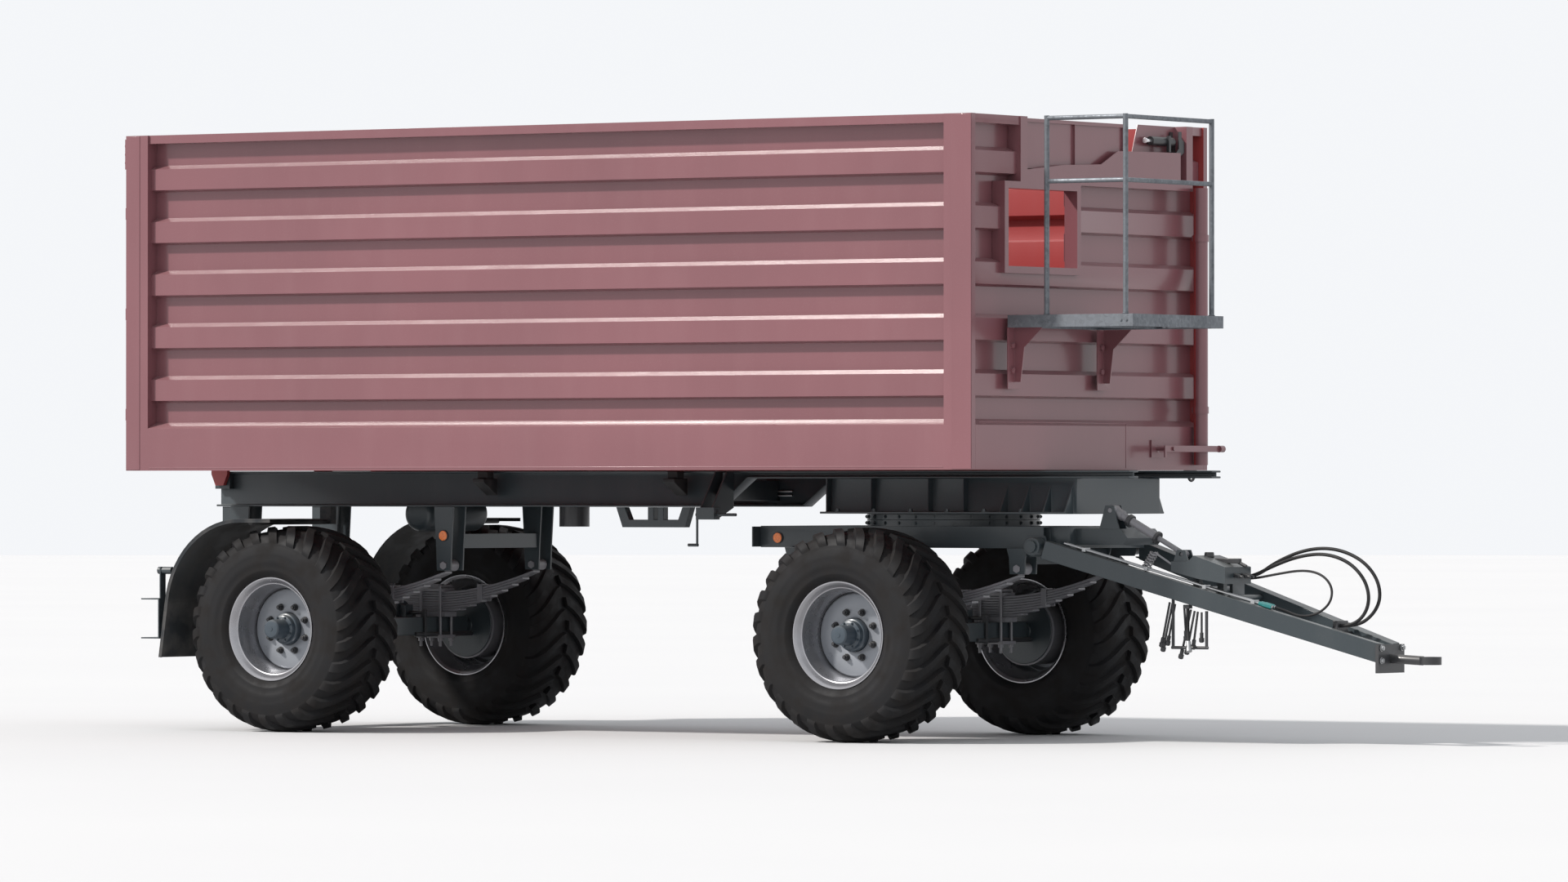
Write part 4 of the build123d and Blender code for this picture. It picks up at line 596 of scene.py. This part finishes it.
class MakeWheels(bpy.types.Operator):
    """Make the four rims with their discs, hubs, drums and nuts"""

    bl_idname = "grain_cart.make_wheels"
    bl_label = "Wheels"

    def execute(self, context):
        for place, centre, mirror in wheels():
            for step in (self.rim, self.disc, self.hub, self.drum, self.nuts):
                step(centre, mirror, f"wheel_{place}")
        return {"FINISHED"}

    @staticmethod
    def rim(centre, mirror, body):
        """Rim with its lips, bead seats and well."""
        bm = bmesh.new()
        tyre_side = [(0.2400, 0.3000), (0.2400, 0.3060), (0.2350, 0.3075), (0.2290, 0.3040),
                     (0.2265, 0.2925), (0.1800, 0.2860), (0.1300, 0.2520)]
        axle_side = [(-0.2240, 0.2850), (-0.1780, 0.2775), (-0.1300, 0.2430), (0.0900, 0.2430),
                     (0.1380, 0.2470), (0.1720, 0.2620), (0.1900, 0.2650), (0.1980, 0.2645),
                     (0.2030, 0.2670), (0.2050, 0.2725), (0.2110, 0.2770), (0.2240, 0.2850),
                     (0.2330, 0.2920)]
        inboard = [(-y, r) for y, r in reversed(tyre_side)]
        add_lathe(bm, tyre_side + inboard + axle_side, centre, mirror, 96)
        piece(f"{body}_rim", bm, "rim_paint", body, [body], smooth=32)

    @staticmethod
    def disc(centre, mirror, body):
        """Disc with its two small eyelets."""
        bm = bmesh.new()
        section = [(0.040, 0.2425), (0.054, 0.2400), (0.0625, 0.2320), (0.0650, 0.2220), (0.0650, 0.1020),
                   (0.0620, 0.0960), (0.0510, 0.0960), (0.0510, 0.2200), (0.0440, 0.2280), (0.0300, 0.2380),
                   (0.0300, 0.2425)]
        add_lathe(bm, section, centre, mirror, 96)
        for i in range(2):
            at = on_wheel(centre, 0.205, pi * i + 0.6, mirror * 0.0652)
            add_ring(bm, at, (0, 1, 0), 0.012, 0.002, 16)
        piece(f"{body}_disc", bm, "disc_paint", body, smooth=32)

    @staticmethod
    def hub(centre, mirror, body):
        """Hub with its cap, the cap's bolts and its end plug."""
        bm = bmesh.new()
        hub = [(0.058, 0.0), (0.058, 0.0940), (0.094, 0.0940), (0.100, 0.0900), (0.1030, 0.0830),
               (0.1280, 0.0790), (0.1320, 0.0720), (0.1340, 0.0600), (0.1500, 0.0580), (0.2150, 0.0565),
               (0.2270, 0.0540), (0.2340, 0.0470), (0.2360, 0.0360), (0.2360, 0.0)]
        add_lathe(bm, hub, centre, mirror, 48, False)
        for i in range(8):
            at = on_wheel(centre, 0.070, 2 * pi * (i + 0.5) / 8, mirror * 0.1300)
            add_bolt(bm, at, (0, mirror, 0), 0.011, 0.006)
        plug = [on_wheel(centre, 0, 0, mirror * out) for out in (0.2350, 0.2385)]
        add_rod(bm, *plug, 0.012)
        piece(f"{body}_hub", bm, "hub_paint", body, smooth=30)

    @staticmethod
    def drum(centre, mirror, body):
        """Brake drum behind the disc."""
        drum = [(0.030, 0.0700), (0.030, 0.1700), (0.018, 0.1850), (0.000, 0.1985), (-0.1950, 0.1985),
                (-0.1980, 0.2040), (-0.2080, 0.2040), (-0.2100, 0.1985), (-0.2100, 0.1860), (-0.012, 0.1860),
                (0.014, 0.1700), (0.014, 0.0700)]
        bm = bmesh.new()
        add_lathe(bm, drum, centre, mirror, 64)
        piece(f"{body}_drum", bm, "spring_paint", body, smooth=32)

    @staticmethod
    def nuts(centre, mirror, body):
        """Eight nuts on their washers, with the ends of the studs."""
        bm = bmesh.new()
        way = Vector((0, mirror, 0))
        bolt_circle, disc_face = 0.1375, 0.065
        for i in range(8):
            at = on_wheel(centre, bolt_circle, 2 * pi * i / 8 + pi / 8, mirror * disc_face)
            add_rod(bm, at, at + way * 0.004, 0.0215)
            add_rod(bm, at + way * 0.004, at + way * 0.024, 0.0165, sides=6)
            add_rod(bm, at + way * 0.024, at + way * 0.036, 0.0095, sides=12)
        piece(f"{body}_nuts", bm, "dark_paint", body, smooth=30, bevel=0.001)


class FinishBody(bpy.types.Operator):
    """Finish the tipping body's walls, floor, tailgate and flap, and add their hinges and fittings"""

    bl_idname = "grain_cart.finish_body"
    bl_label = "Body"

    def execute(self, context):
        body = "tipping_body"
        for side, inward in (("left", -1), ("right", 1)):
            wall = softened(f"ribbed_wall_{side}", f"side_wall_{side}", body, "body_paint", bevel=0.009,
                            segments=3)
            second_finish(wall, "inner_paint", lambda face: face.normal.y * inward > 0.2)
        wall = softened("ribbed_wall_front", "front_wall", body, "body_paint", bevel=0.006, segments=3)
        second_finish(wall, "inner_paint", lambda face: face.normal.x < -0.2)
        softened("floor_and_bearers", "body_floor", body, "inner_paint", bevel=0.004)
        gate = softened("tailgate_panel", "tailgate", "tailgate", "body_paint", bevel=0.004)
        second_finish(gate, "inner_paint", lambda face: face.normal.x > 0.2)
        softened("outlet_shutter", "grain_slide", "grain_slide", "steel", bevel=0.002)
        softened("notch_flap", "front_flap", "front_flap", "body_paint", bevel=0.002)
        softened("flap_lock_body", "flap_lock_cylinder", body, "dark_paint", bevel=0.002)
        softened("flap_lock_pin", "flap_lock_bolt", "flap_lock_bolt", "chrome_rod", bevel=0.001)
        softened("front_lock_lever", "lock_lever", "lock_lever", "body_paint", bevel=0.003)
        self.post_covers(body)
        self.lashing_ring(body)
        self.straps_and_bolts(body)
        return {"FINISHED"}

    @staticmethod
    def post_covers(body):
        """Raised cover plates on the posts, and welded seams on the sills and the front wall's foot."""
        bm = bmesh.new()
        for side in (1, -1):
            wall = side * (HALF_W - 0.001)
            cover, seam = side * (HALF_W + 0.003), side * (HALF_W + 0.0015)
            for x0, x1 in ((REAR + 0.002, REAR + 0.104), (FRONT - 0.131, FRONT - 0.002)):
                add_slab(bm, (x0, wall, BOTTOM + 0.004), (x1, cover, TOP - 0.004))
            add_slab(bm, (REAR + 0.170, wall, BOTTOM + 0.012), (FRONT - 0.190, seam, BOTTOM + 0.020))
        add_slab(bm, (FRONT - 0.001, -1.20, BOTTOM + 0.266), (FRONT + 0.002, 0.372, BOTTOM + 0.270))
        add_slab(bm, (FRONT - 0.001, 0.369, BOTTOM + 0.010), (FRONT + 0.002, 0.373, BOTTOM + 0.268))
        piece("post_cover_plates", bm, "body_paint", body, bevel=0.0015)

    @staticmethod
    def lashing_ring(body):
        """Ring under the front left corner, with its plate."""
        bm = bmesh.new()
        at = Vector((FRONT - 0.020, 1.130, BOTTOM - 0.028))
        add_ring(bm, at, (1, 0, 0), 0.033, 0.008, 28)
        add_slab(bm, at + Vector((-0.030, -0.040, 0.026)), at + Vector((0.014, 0.040, 0.036)))
        piece("lashing_ring", bm, "dark_paint", body, smooth=40, bevel=0.001)

    @staticmethod
    def straps_and_bolts(body):
        """Tailgate hinge plates and stops on the rear posts, and the bolts of the front corner tubes."""
        bm = bmesh.new()
        for side in (1, -1):
            inner = side * (HALF_W - 0.050)
            add_slab(bm, (REAR - 0.008, inner, TOP - 0.20), (REAR + 0.001, inner + side * 0.05, TOP - 0.02))
            for drop in (0.06, 0.11, 0.16):
                add_bolt(bm, (REAR - 0.008, inner + side * 0.025, TOP - drop), (-1, 0, 0), 0.022, 0.010)
            for up in (0.30, 0.90, 1.50):
                add_slab(bm, (REAR - 0.012, inner, BOTTOM + up),
                         (REAR + 0.001, inner + side * 0.04, BOTTOM + up + 0.07))
        for y in (-0.8325, 0.1225):
            for up in (0.56, 0.70):
                add_bolt(bm, (FRONT + 0.007, y - 0.035, BOTTOM + up), (1, 0, 0), 0.03, 0.014)
        piece("wall_bolts_and_straps", bm, "body_paint", body, bevel=0.0012)


class FinishPlatform(bpy.types.Operator):
    """Finish the service platform with its grating and railing"""

    bl_idname = "grain_cart.finish_platform"
    bl_label = "Platform"

    def execute(self, context):
        body = "tipping_body"
        edges = softened("platform_edges", "platform_frame", body, "galvanised", bevel=0.002)
        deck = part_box("platform_grating")[1].z
        second_finish(edges, "body_paint", lambda face: face.center.z < deck - 0.072)
        softened("platform_bars", "platform_grating", body, "galvanised", bevel=0.0008, segments=1)
        softened("platform_rails", "platform_railing", body, "galvanised", bevel=0.001)
        bm = bmesh.new()
        for x, y, outward in ((0.250, -0.88, -1), (0.770, -0.88, -1), (0.770, 0.05, 1)):
            right, left = y - 0.012, y + 0.022
            add_slab(bm, (FRONT + x - 0.03, right, deck - 0.068), (FRONT + x + 0.03, left, deck - 0.004))
            for dx in (-0.018, 0.018):
                at = (FRONT + x + dx, right if outward < 0 else left, deck - 0.036)
                add_bolt(bm, at, (0, outward, 0), 0.016, 0.008)
            add_ring(bm, (FRONT + x, y, deck + 0.004), (0, 0, 1), 0.0165, 0.003, 20)
        piece("railing_feet", bm, "galvanised", body, bevel=0.001)
        return {"FINISHED"}


class FinishChassis(bpy.types.Operator):
    """Finish the chassis, turntable and bogie, and add bolts, pipes and brake gear"""

    bl_idname = "grain_cart.finish_chassis"
    bl_label = "Chassis"

    def execute(self, context):
        for side in ("left", "right"):
            softened(f"chassis_rail_{side}", f"frame_rail_{side}", "chassis", "chassis_paint", bevel=0.004)
        for node, width in (("frame_cross_members", 0.006), ("turntable_support", 0.003),
                            ("rear_spring_hangers", 0.003), ("rear_axle", 0.005),
                            ("rear_light_bar", 0.003), ("air_reservoir", 0.003),
                            ("chock_carrier", 0.002), ("brake_crank_housing", 0.003)):
            softened(f"{node}_finished", node, "chassis", "chassis_paint", bevel=width)
        for node, width in (("bogie_frame", 0.006), ("bogie_hangers", 0.003), ("front_axle", 0.005)):
            softened(f"{node}_finished", node, "steering_bogie", "chassis_paint", bevel=width)
        softened("mudguard_shells", "rear_mudguards", "chassis", "mudguard", bevel=0.003)
        softened("rest_pad_blocks", "body_rest_pads", "chassis", "rubber", bevel=0.004)
        softened("parking_brake_crank", "brake_crank", "brake_crank", "chassis_paint", bevel=0.002)
        softened("ram_tube", "ram_barrel", "ram_barrel", "dark_paint", bevel=0.003)
        for i in range(1, 6):
            softened(f"ram_tube_{i}", f"ram_stage_{i}", f"ram_stage_{i}", "chrome_rod", bevel=0.002)
        self.slewing_bolts()
        self.brake_lines()
        self.brake_gear()
        return {"FINISHED"}

    @staticmethod
    def slewing_bolts():
        """Bolts on both halves of the slewing ring, and edge bolts of the support plate."""
        centre = Vector((AXLES["front"], 0, 0))
        upper, lower = bmesh.new(), bmesh.new()
        bolt_count, ring_radius = 28, 0.4995
        for i in range(bolt_count):
            a = 2 * pi * (i + 0.5) / bolt_count
            way = Vector((cos(a), sin(a), 0))
            for ring, z in ((upper, 1.280), (lower, 1.244)):
                add_bolt(ring, centre + way * ring_radius + Vector((0, 0, z)), way, 0.016, 0.006)
        for x in (-1.40, -1.15, -0.90, -0.65, -0.40, -0.15):
            for side in (1, -1):
                add_bolt(upper, ahead(x, side * 0.520, 1.309), (0, 0, 1), 0.024, 0.012)
        for half, bolts, body in (("upper", upper, "chassis"), ("lower", lower, "steering_bogie")):
            piece(f"slewing_ring_{half}_bolts", bolts, "chassis_paint", body, smooth=30)

    @staticmethod
    def brake_lines():
        """Pipes clipped along the inside of each rail, with their clips."""
        pipes, clips = bmesh.new(), bmesh.new()
        for side in (1, -1):
            for z in (1.400, 1.425):
                add_rod(pipes, ahead(-5.80, side * 0.434, z), ahead(-2.35, side * 0.434, z), 0.006, sides=12)
            for i in range(8):
                x = -5.70 + i * 0.46
                add_slab(clips, ahead(x, side * 0.425, 1.388), ahead(x + 0.03, side * 0.445, 1.437))
        piece("rail_pipes", pipes, "steel", "chassis", smooth=40)
        piece("rail_pipe_clips", clips, "dark_paint", "chassis", smooth=30, bevel=0.002)

    @staticmethod
    def brake_gear():
        """Clamp bands, push rods and levers of the brake chambers, and the camshafts."""
        for place, x in AXLES.items():
            bm = bmesh.new()
            for side in (1, -1):
                at = Vector((x - 0.180, side * 0.250, AXLE_Z + 0.080))
                add_ring(bm, at, (1, 0, 0), 0.077, 0.006, 36)
                add_ring(bm, at + Vector((-0.072, 0, 0)), (1, 0, 0), 0.060, 0.005, 32)
                add_rod(bm, at + Vector((0.10, 0, 0.0)), at + Vector((0.24, 0, 0.0)), 0.009)
                add_slab(bm, at + Vector((0.222, -0.010, -0.150)), at + Vector((0.250, 0.010, 0.020)))
                shaft = Vector((x + 0.056, 0, AXLE_Z - 0.05))
                add_rod(bm, shaft + Vector((0, side * 0.16, 0)), shaft + Vector((0, side * 0.74, 0)), 0.014)
            piece(f"brake_gear_{place}", bm, "dark_paint", CARRIER[place], bevel=0.0015)


class MakeSprings(bpy.types.Operator):
    """Make the leaf springs with their eyes, clamps, plates and U-bolts"""

    bl_idname = "grain_cart.make_springs"
    bl_label = "Springs"

    def execute(self, context):
        thick = context.scene.grain_cart_sizes.leaf_thickness
        for place, x in AXLES.items():
            leaves, clamps = bmesh.new(), bmesh.new()
            for side in (1, -1):
                y = side * SPRING_Y
                for i in range(8):
                    self.leaf(leaves, x, y, i, thick)
                self.eyes(leaves, x, y)
                self.clamps(clamps, x, y)
            piece(f"leaf_springs_{place}", leaves, "spring_paint", CARRIER[place],
                  [f"{place}_springs"], bevel=0.0018)
            piece(f"spring_clamps_{place}", clamps, "spring_paint", CARRIER[place],
                  bevel=0.0015)
        return {"FINISHED"}

    @staticmethod
    def leaf(bm, axle_x, y, number, thick):
        """One leaf, bent to the pack's arc."""
        half = SPRING_HALF - 0.012 - number * 0.078
        rise = SPRING_EYE_Z - 0.030 - LEAF_LOW
        sections = []
        for step in range(-8, 9):
            along = half * step / 8
            z = LEAF_LOW - 0.0075 - number * 0.015 + rise * (along / SPRING_HALF) ** 2
            wide = 0.044 if abs(step) < 8 else 0.034
            corners = ((-wide, -thick / 2), (wide, -thick / 2), (wide, thick / 2), (-wide, thick / 2))
            sections.append([Vector((axle_x + along, y + dy, z + dz)) for dy, dz in corners])
        add_sweep(bm, sections)

    @staticmethod
    def eyes(bm, axle_x, y):
        """Rolled eyes with their bushes and pin heads."""
        for end in (-1, 1):
            centre = Vector((axle_x + end * SPRING_HALF, y, SPRING_EYE_Z))
            add_lathe(bm, [(-0.044, 0.018), (-0.044, 0.034), (0.044, 0.034), (0.044, 0.018)], centre, 1, 32)
            add_rod(bm, centre + Vector((0, -0.074, 0)), centre + Vector((0, 0.074, 0)), 0.0145)
            for out in (-1, 1):
                at = centre + Vector((0, out * 0.0675, 0))
                add_rod(bm, at, at + Vector((0, out * 0.010, 0)), 0.024, sides=6)

    @staticmethod
    def clamps(bm, axle_x, y):
        """Seat, top plate, bottom plate, U-bolts with nuts, and rebound clips."""
        low = AXLE_Z + 0.055
        under = LEAF_LOW - 0.120
        for along, across, z0, z1 in ((0.110, 0.060, low, under),
                                      (0.095, 0.060, LEAF_LOW + 0.002, LEAF_LOW + 0.022),
                                      (0.040, 0.030, LEAF_LOW + 0.022, LEAF_LOW + 0.048),
                                      (0.095, 0.070, AXLE_Z - 0.073, AXLE_Z - 0.055)):
            add_slab(bm, (axle_x - along, y - across, z0), (axle_x + along, y + across, z1))
        top = LEAF_LOW + 0.034
        for dx in (-0.072, 0.072):
            for dy in (-0.056, 0.056):
                at = Vector((axle_x + dx, y + dy, AXLE_Z - 0.073))
                add_rod(bm, at + Vector((0, 0, -0.052)), (at.x, at.y, top), 0.009, sides=14)
                add_rod(bm, at, at + Vector((0, 0, -0.020)), 0.017, sides=6)
            add_rod(bm, (axle_x + dx, y - 0.058, top), (axle_x + dx, y + 0.058, top), 0.009, sides=14)
        for end in (-1, 1):
            x = axle_x + end * 0.36
            z = LEAF_LOW - 0.012 + 0.14 * (0.36 / SPRING_HALF) ** 2
            for near, far in ((-0.051, -0.046), (0.046, 0.051)):
                add_slab(bm, (x - 0.018, y + near, z - 0.075), (x + 0.018, y + far, z + 0.030))
            add_rod(bm, (x, y - 0.058, z + 0.024), (x, y + 0.058, z + 0.024), 0.006, sides=10)


class MakeDrawbar(bpy.types.Operator):
    """Finish the drawbar, strut and towing eye, and add the coil spring, valve and parked couplings"""

    bl_idname = "grain_cart.make_drawbar"
    bl_label = "Drawbar"

    def execute(self, context):
        for side in ("left", "right"):
            softened(f"drawbar_side_{side}", f"drawbar_beam_{side}", "drawbar", "chassis_paint", bevel=0.005)
        softened("strut_box", "drawbar_crosspiece", "drawbar", "chassis_paint", bevel=0.004)
        softened("towing_eye_forging", "towing_eye", "drawbar", "dark_paint", bevel=0.004)
        softened("drawbar_oil_pipes", "drawbar_pipes", "drawbar", "steel", bevel=0.0008, segments=1)
        softened("coupling_stand", "hose_stand", "drawbar", "dark_paint", bevel=0.002)
        softened("strut_tube", "strut_barrel", "strut_barrel", "spring_paint", bevel=0.002)
        softened("strut_piston", "strut_rod", "strut_rod", "spring_paint", bevel=0.002)
        self.pipe_unions()
        self.valve()
        self.parked_couplings()
        self.head_bolts()
        self.return_spring()
        self.strut_collars()
        return {"FINISHED"}

    @staticmethod
    def return_spring():
        """Coil spring between the drawbar's side and an arm from the strut box."""
        bm = bmesh.new()
        top, foot = ahead(0.650, -0.376, 1.082), ahead(0.585, -0.364, 0.994)
        way = (top - foot).normalized()
        turns, steps, radius, wire = 6, 12, 0.022, 0.0045
        frame_of_spring = Matrix.Translation(foot) @ turned(way)
        angles = [2 * pi * k / 6 for k in range(6)]
        ring = [Vector((radius + wire * cos(a), 0, wire * sin(a))) for a in angles]
        sections = []
        for i in range(turns * steps + 1):
            share = i / (turns * steps)
            around = Matrix.Rotation(2 * pi * i / steps, 4, "Z")
            lift = Matrix.Translation((0, 0, share * (top - foot).length))
            sections.append([frame_of_spring @ lift @ around @ point for point in ring])
        add_sweep(bm, sections)
        bmesh.ops.recalc_face_normals(bm, faces=bm.faces)
        add_rod(bm, top, ahead(0.745, -0.334, 1.010), 0.006, sides=12)
        add_rod(bm, foot, foot + Vector((0, 0, -0.020)), 0.006, sides=12)
        piece("return_spring", bm, "spring_paint", "drawbar", smooth=50)

    @staticmethod
    def strut_collars():
        """Two clamp collars on the strut's barrel."""
        bm = bmesh.new()
        low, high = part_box("strut_barrel")
        top = Vector((low.x + 0.045, (low.y + high.y) / 2, high.z - 0.040))
        way = Vector((0.465, 0, -0.246)).normalized()
        add_rod(bm, top + way * 0.092, top + way * 0.118, 0.037, sides=32)
        add_rod(bm, top + way * 0.300, top + way * 0.318, 0.038, sides=32)
        piece("strut_collars", bm, "dark_paint", "strut_barrel", bevel=0.002)

    @staticmethod
    def pipe_unions():
        """Unions at the oil pipes' front ends."""
        bm = bmesh.new()
        for y in (-0.2345, -0.2065):
            end = ahead(1.341, y, 0.7738)
            way = Vector((2.0, 0.445, -0.592)).normalized()
            add_rod(bm, end - way * 0.060, end - way * 0.006, 0.0150, sides=6)
            add_rod(bm, end - way * 0.085, end - way * 0.060, 0.0125, sides=20)
        piece("pipe_unions", bm, "teal_paint", "drawbar", smooth=30, bevel=0.001)

    @staticmethod
    def valve():
        """Valve's knob and handle on the strut box, and its pipe stubs."""
        bm = bmesh.new()
        add_rod(bm, ahead(0.905, -0.20, 1.055), ahead(0.905, -0.20, 1.083), 0.030, 0.026, 24)
        add_slab(bm, ahead(0.930, -0.215, 1.020), ahead(1.110, -0.185, 1.048))
        add_rod(bm, ahead(1.090, -0.20, 1.030), ahead(1.150, -0.20, 1.002), 0.010)
        for y in (-0.12, -0.16, -0.24):
            add_rod(bm, ahead(1.090, y, 0.955), ahead(1.130, y, 0.947), 0.013, sides=6)
            add_rod(bm, ahead(1.128, y, 0.947), ahead(1.150, y, 0.943), 0.009)
        piece("drawbar_valve", bm, "dark_paint", "drawbar", bevel=0.003)

    @staticmethod
    def parked_couplings():
        """Quick couplings on short pipes, parked on the stand."""
        bm = bmesh.new()
        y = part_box("hose_stand")[0].y + 0.009
        for x, top, low, lean in ((0.720, 0.800, 0.600, -0.050), (0.738, 0.795, 0.575, -0.058),
                                  (0.756, 0.790, 0.610, -0.046), (0.815, 0.780, 0.640, 0.004),
                                  (0.860, 0.760, 0.535, -0.062), (0.884, 0.752, 0.560, -0.048),
                                  (0.905, 0.748, 0.590, -0.030), (0.930, 0.745, 0.630, -0.006)):
            start, end = ahead(x, y + 0.004, top), ahead(x + lean, y + 0.014, low)
            add_rod(bm, start, end, 0.0065, sides=14)
            way = (end - start).normalized()
            add_rod(bm, end, end + way * 0.030, 0.012, sides=6)
            add_rod(bm, end + way * 0.030, end + way * 0.052, 0.015)
            add_rod(bm, end + way * 0.052, end + way * 0.056, 0.011)
        piece("parked_couplings", bm, "dark_paint", "drawbar", bevel=0.001)

    @staticmethod
    def head_bolts():
        """Bolts of the towing head."""
        bm = bmesh.new()
        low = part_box("towing_eye")[0]
        for y in (-0.115, 0.115):
            for z in (low.z + 0.070, low.z + 0.140):
                add_bolt(bm, (low.x + 0.022, y, z), (1, 0, 0), 0.026, 0.013)
        piece("towing_head_bolts", bm, "steel", "drawbar", smooth=30, bevel=0.001)


class MakeLamps(bpy.types.Operator):
    """Make the rear lamps and the amber side reflectors"""

    bl_idname = "grain_cart.make_lamps"
    bl_label = "Lamps"

    def execute(self, context):
        reds, rims, ambers = bmesh.new(), bmesh.new(), bmesh.new()
        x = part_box("rear_lamps")[0].x
        for side in (1, -1):
            for y in (1.050, 0.920, 0.800):
                centre = Vector((x, side * y, 0.667))
                add_rod(rims, centre, centre + Vector((0.066, 0, 0)), 0.052, sides=40)
                target = ambers if y == 1.050 else reds
                back, front = centre + Vector((0.001, 0, 0)), centre + Vector((-0.006, 0, 0))
                add_rod(target, back, front, 0.047, 0.043, 40)
            hanger = Vector((AXLES["rear"] + SPRING_HALF, side * (SPRING_Y + 0.068), 1.162))
            self.reflector(rims, ambers, hanger, side, 0.007, 0.010)
        piece("lamp_housings", rims, "dark_paint", "chassis", ["rear_lamps"], smooth=30,
              bevel=0.002)
        piece("lamp_lenses", reds, "red_lens", "chassis", smooth=30, bevel=0.001)
        piece("amber_lenses", ambers, "amber_lens", "chassis", smooth=30, bevel=0.001)
        side_reflectors, backs = bmesh.new(), bmesh.new()
        for side in (1, -1):
            self.reflector(backs, side_reflectors, ahead(-1.838, side * 0.481, 1.157), side, 0.008, 0.012)
        piece("bogie_reflector_rims", backs, "dark_paint", "steering_bogie", smooth=30,
              bevel=0.002)
        piece("bogie_reflectors", side_reflectors, "amber_lens", "steering_bogie", smooth=30,
              bevel=0.001)
        return {"FINISHED"}

    @staticmethod
    def reflector(rim, glass, at, side, rim_depth, depth):
        """Round reflector in its rim, facing away from the cart's middle."""
        out = Vector((0, side, 0))
        add_rod(rim, at, at + out * rim_depth, 0.034, sides=36)
        add_rod(glass, at + out * (rim_depth - 0.001), at + out * depth, 0.030, 0.028, 36)


class GrainCartPanel(bpy.types.Panel):
    """Sizes, colours and steps of the grain cart"""

    bl_idname = "VIEW3D_PT_grain_cart"
    bl_label = "Grain cart"
    bl_space_type = "VIEW_3D"
    bl_region_type = "UI"
    bl_category = "Grain cart"

    def draw(self, context):
        scene = context.scene
        for group in (scene.grain_cart_colours, scene.grain_cart_sizes, scene.grain_cart_stage):
            box = self.layout.box()
            for name in group.__annotations__:
                box.prop(group, name)
        for step in STEPS:
            self.layout.operator(step.bl_idname)


STEPS = (MakeStage, MakeHoses, MakeTyres, MakeWheels, FinishBody, FinishPlatform, FinishChassis,
         MakeSprings, MakeDrawbar, MakeLamps)
CLASSES = (GrainCartColours, GrainCartSizes, GrainCartStage, *STEPS, GrainCartPanel)


def register():
    for cls in CLASSES:
        bpy.utils.register_class(cls)
    bpy.types.Scene.grain_cart_colours = bpy.props.PointerProperty(type=GrainCartColours)
    bpy.types.Scene.grain_cart_sizes = bpy.props.PointerProperty(type=GrainCartSizes)
    bpy.types.Scene.grain_cart_stage = bpy.props.PointerProperty(type=GrainCartStage)


def unregister():
    del bpy.types.Scene.grain_cart_stage
    del bpy.types.Scene.grain_cart_sizes
    del bpy.types.Scene.grain_cart_colours
    for cls in reversed(CLASSES):
        bpy.utils.unregister_class(cls)


def main():
    register()
    bpy.ops.grain_cart.make_stage()
    bpy.ops.grain_cart.make_hoses()
    bpy.ops.grain_cart.make_tyres()
    bpy.ops.grain_cart.make_wheels()
    bpy.ops.grain_cart.finish_body()
    bpy.ops.grain_cart.finish_platform()
    bpy.ops.grain_cart.finish_chassis()
    bpy.ops.grain_cart.make_springs()
    bpy.ops.grain_cart.make_drawbar()
    bpy.ops.grain_cart.make_lamps()


if __name__ == "__main__":
    main()
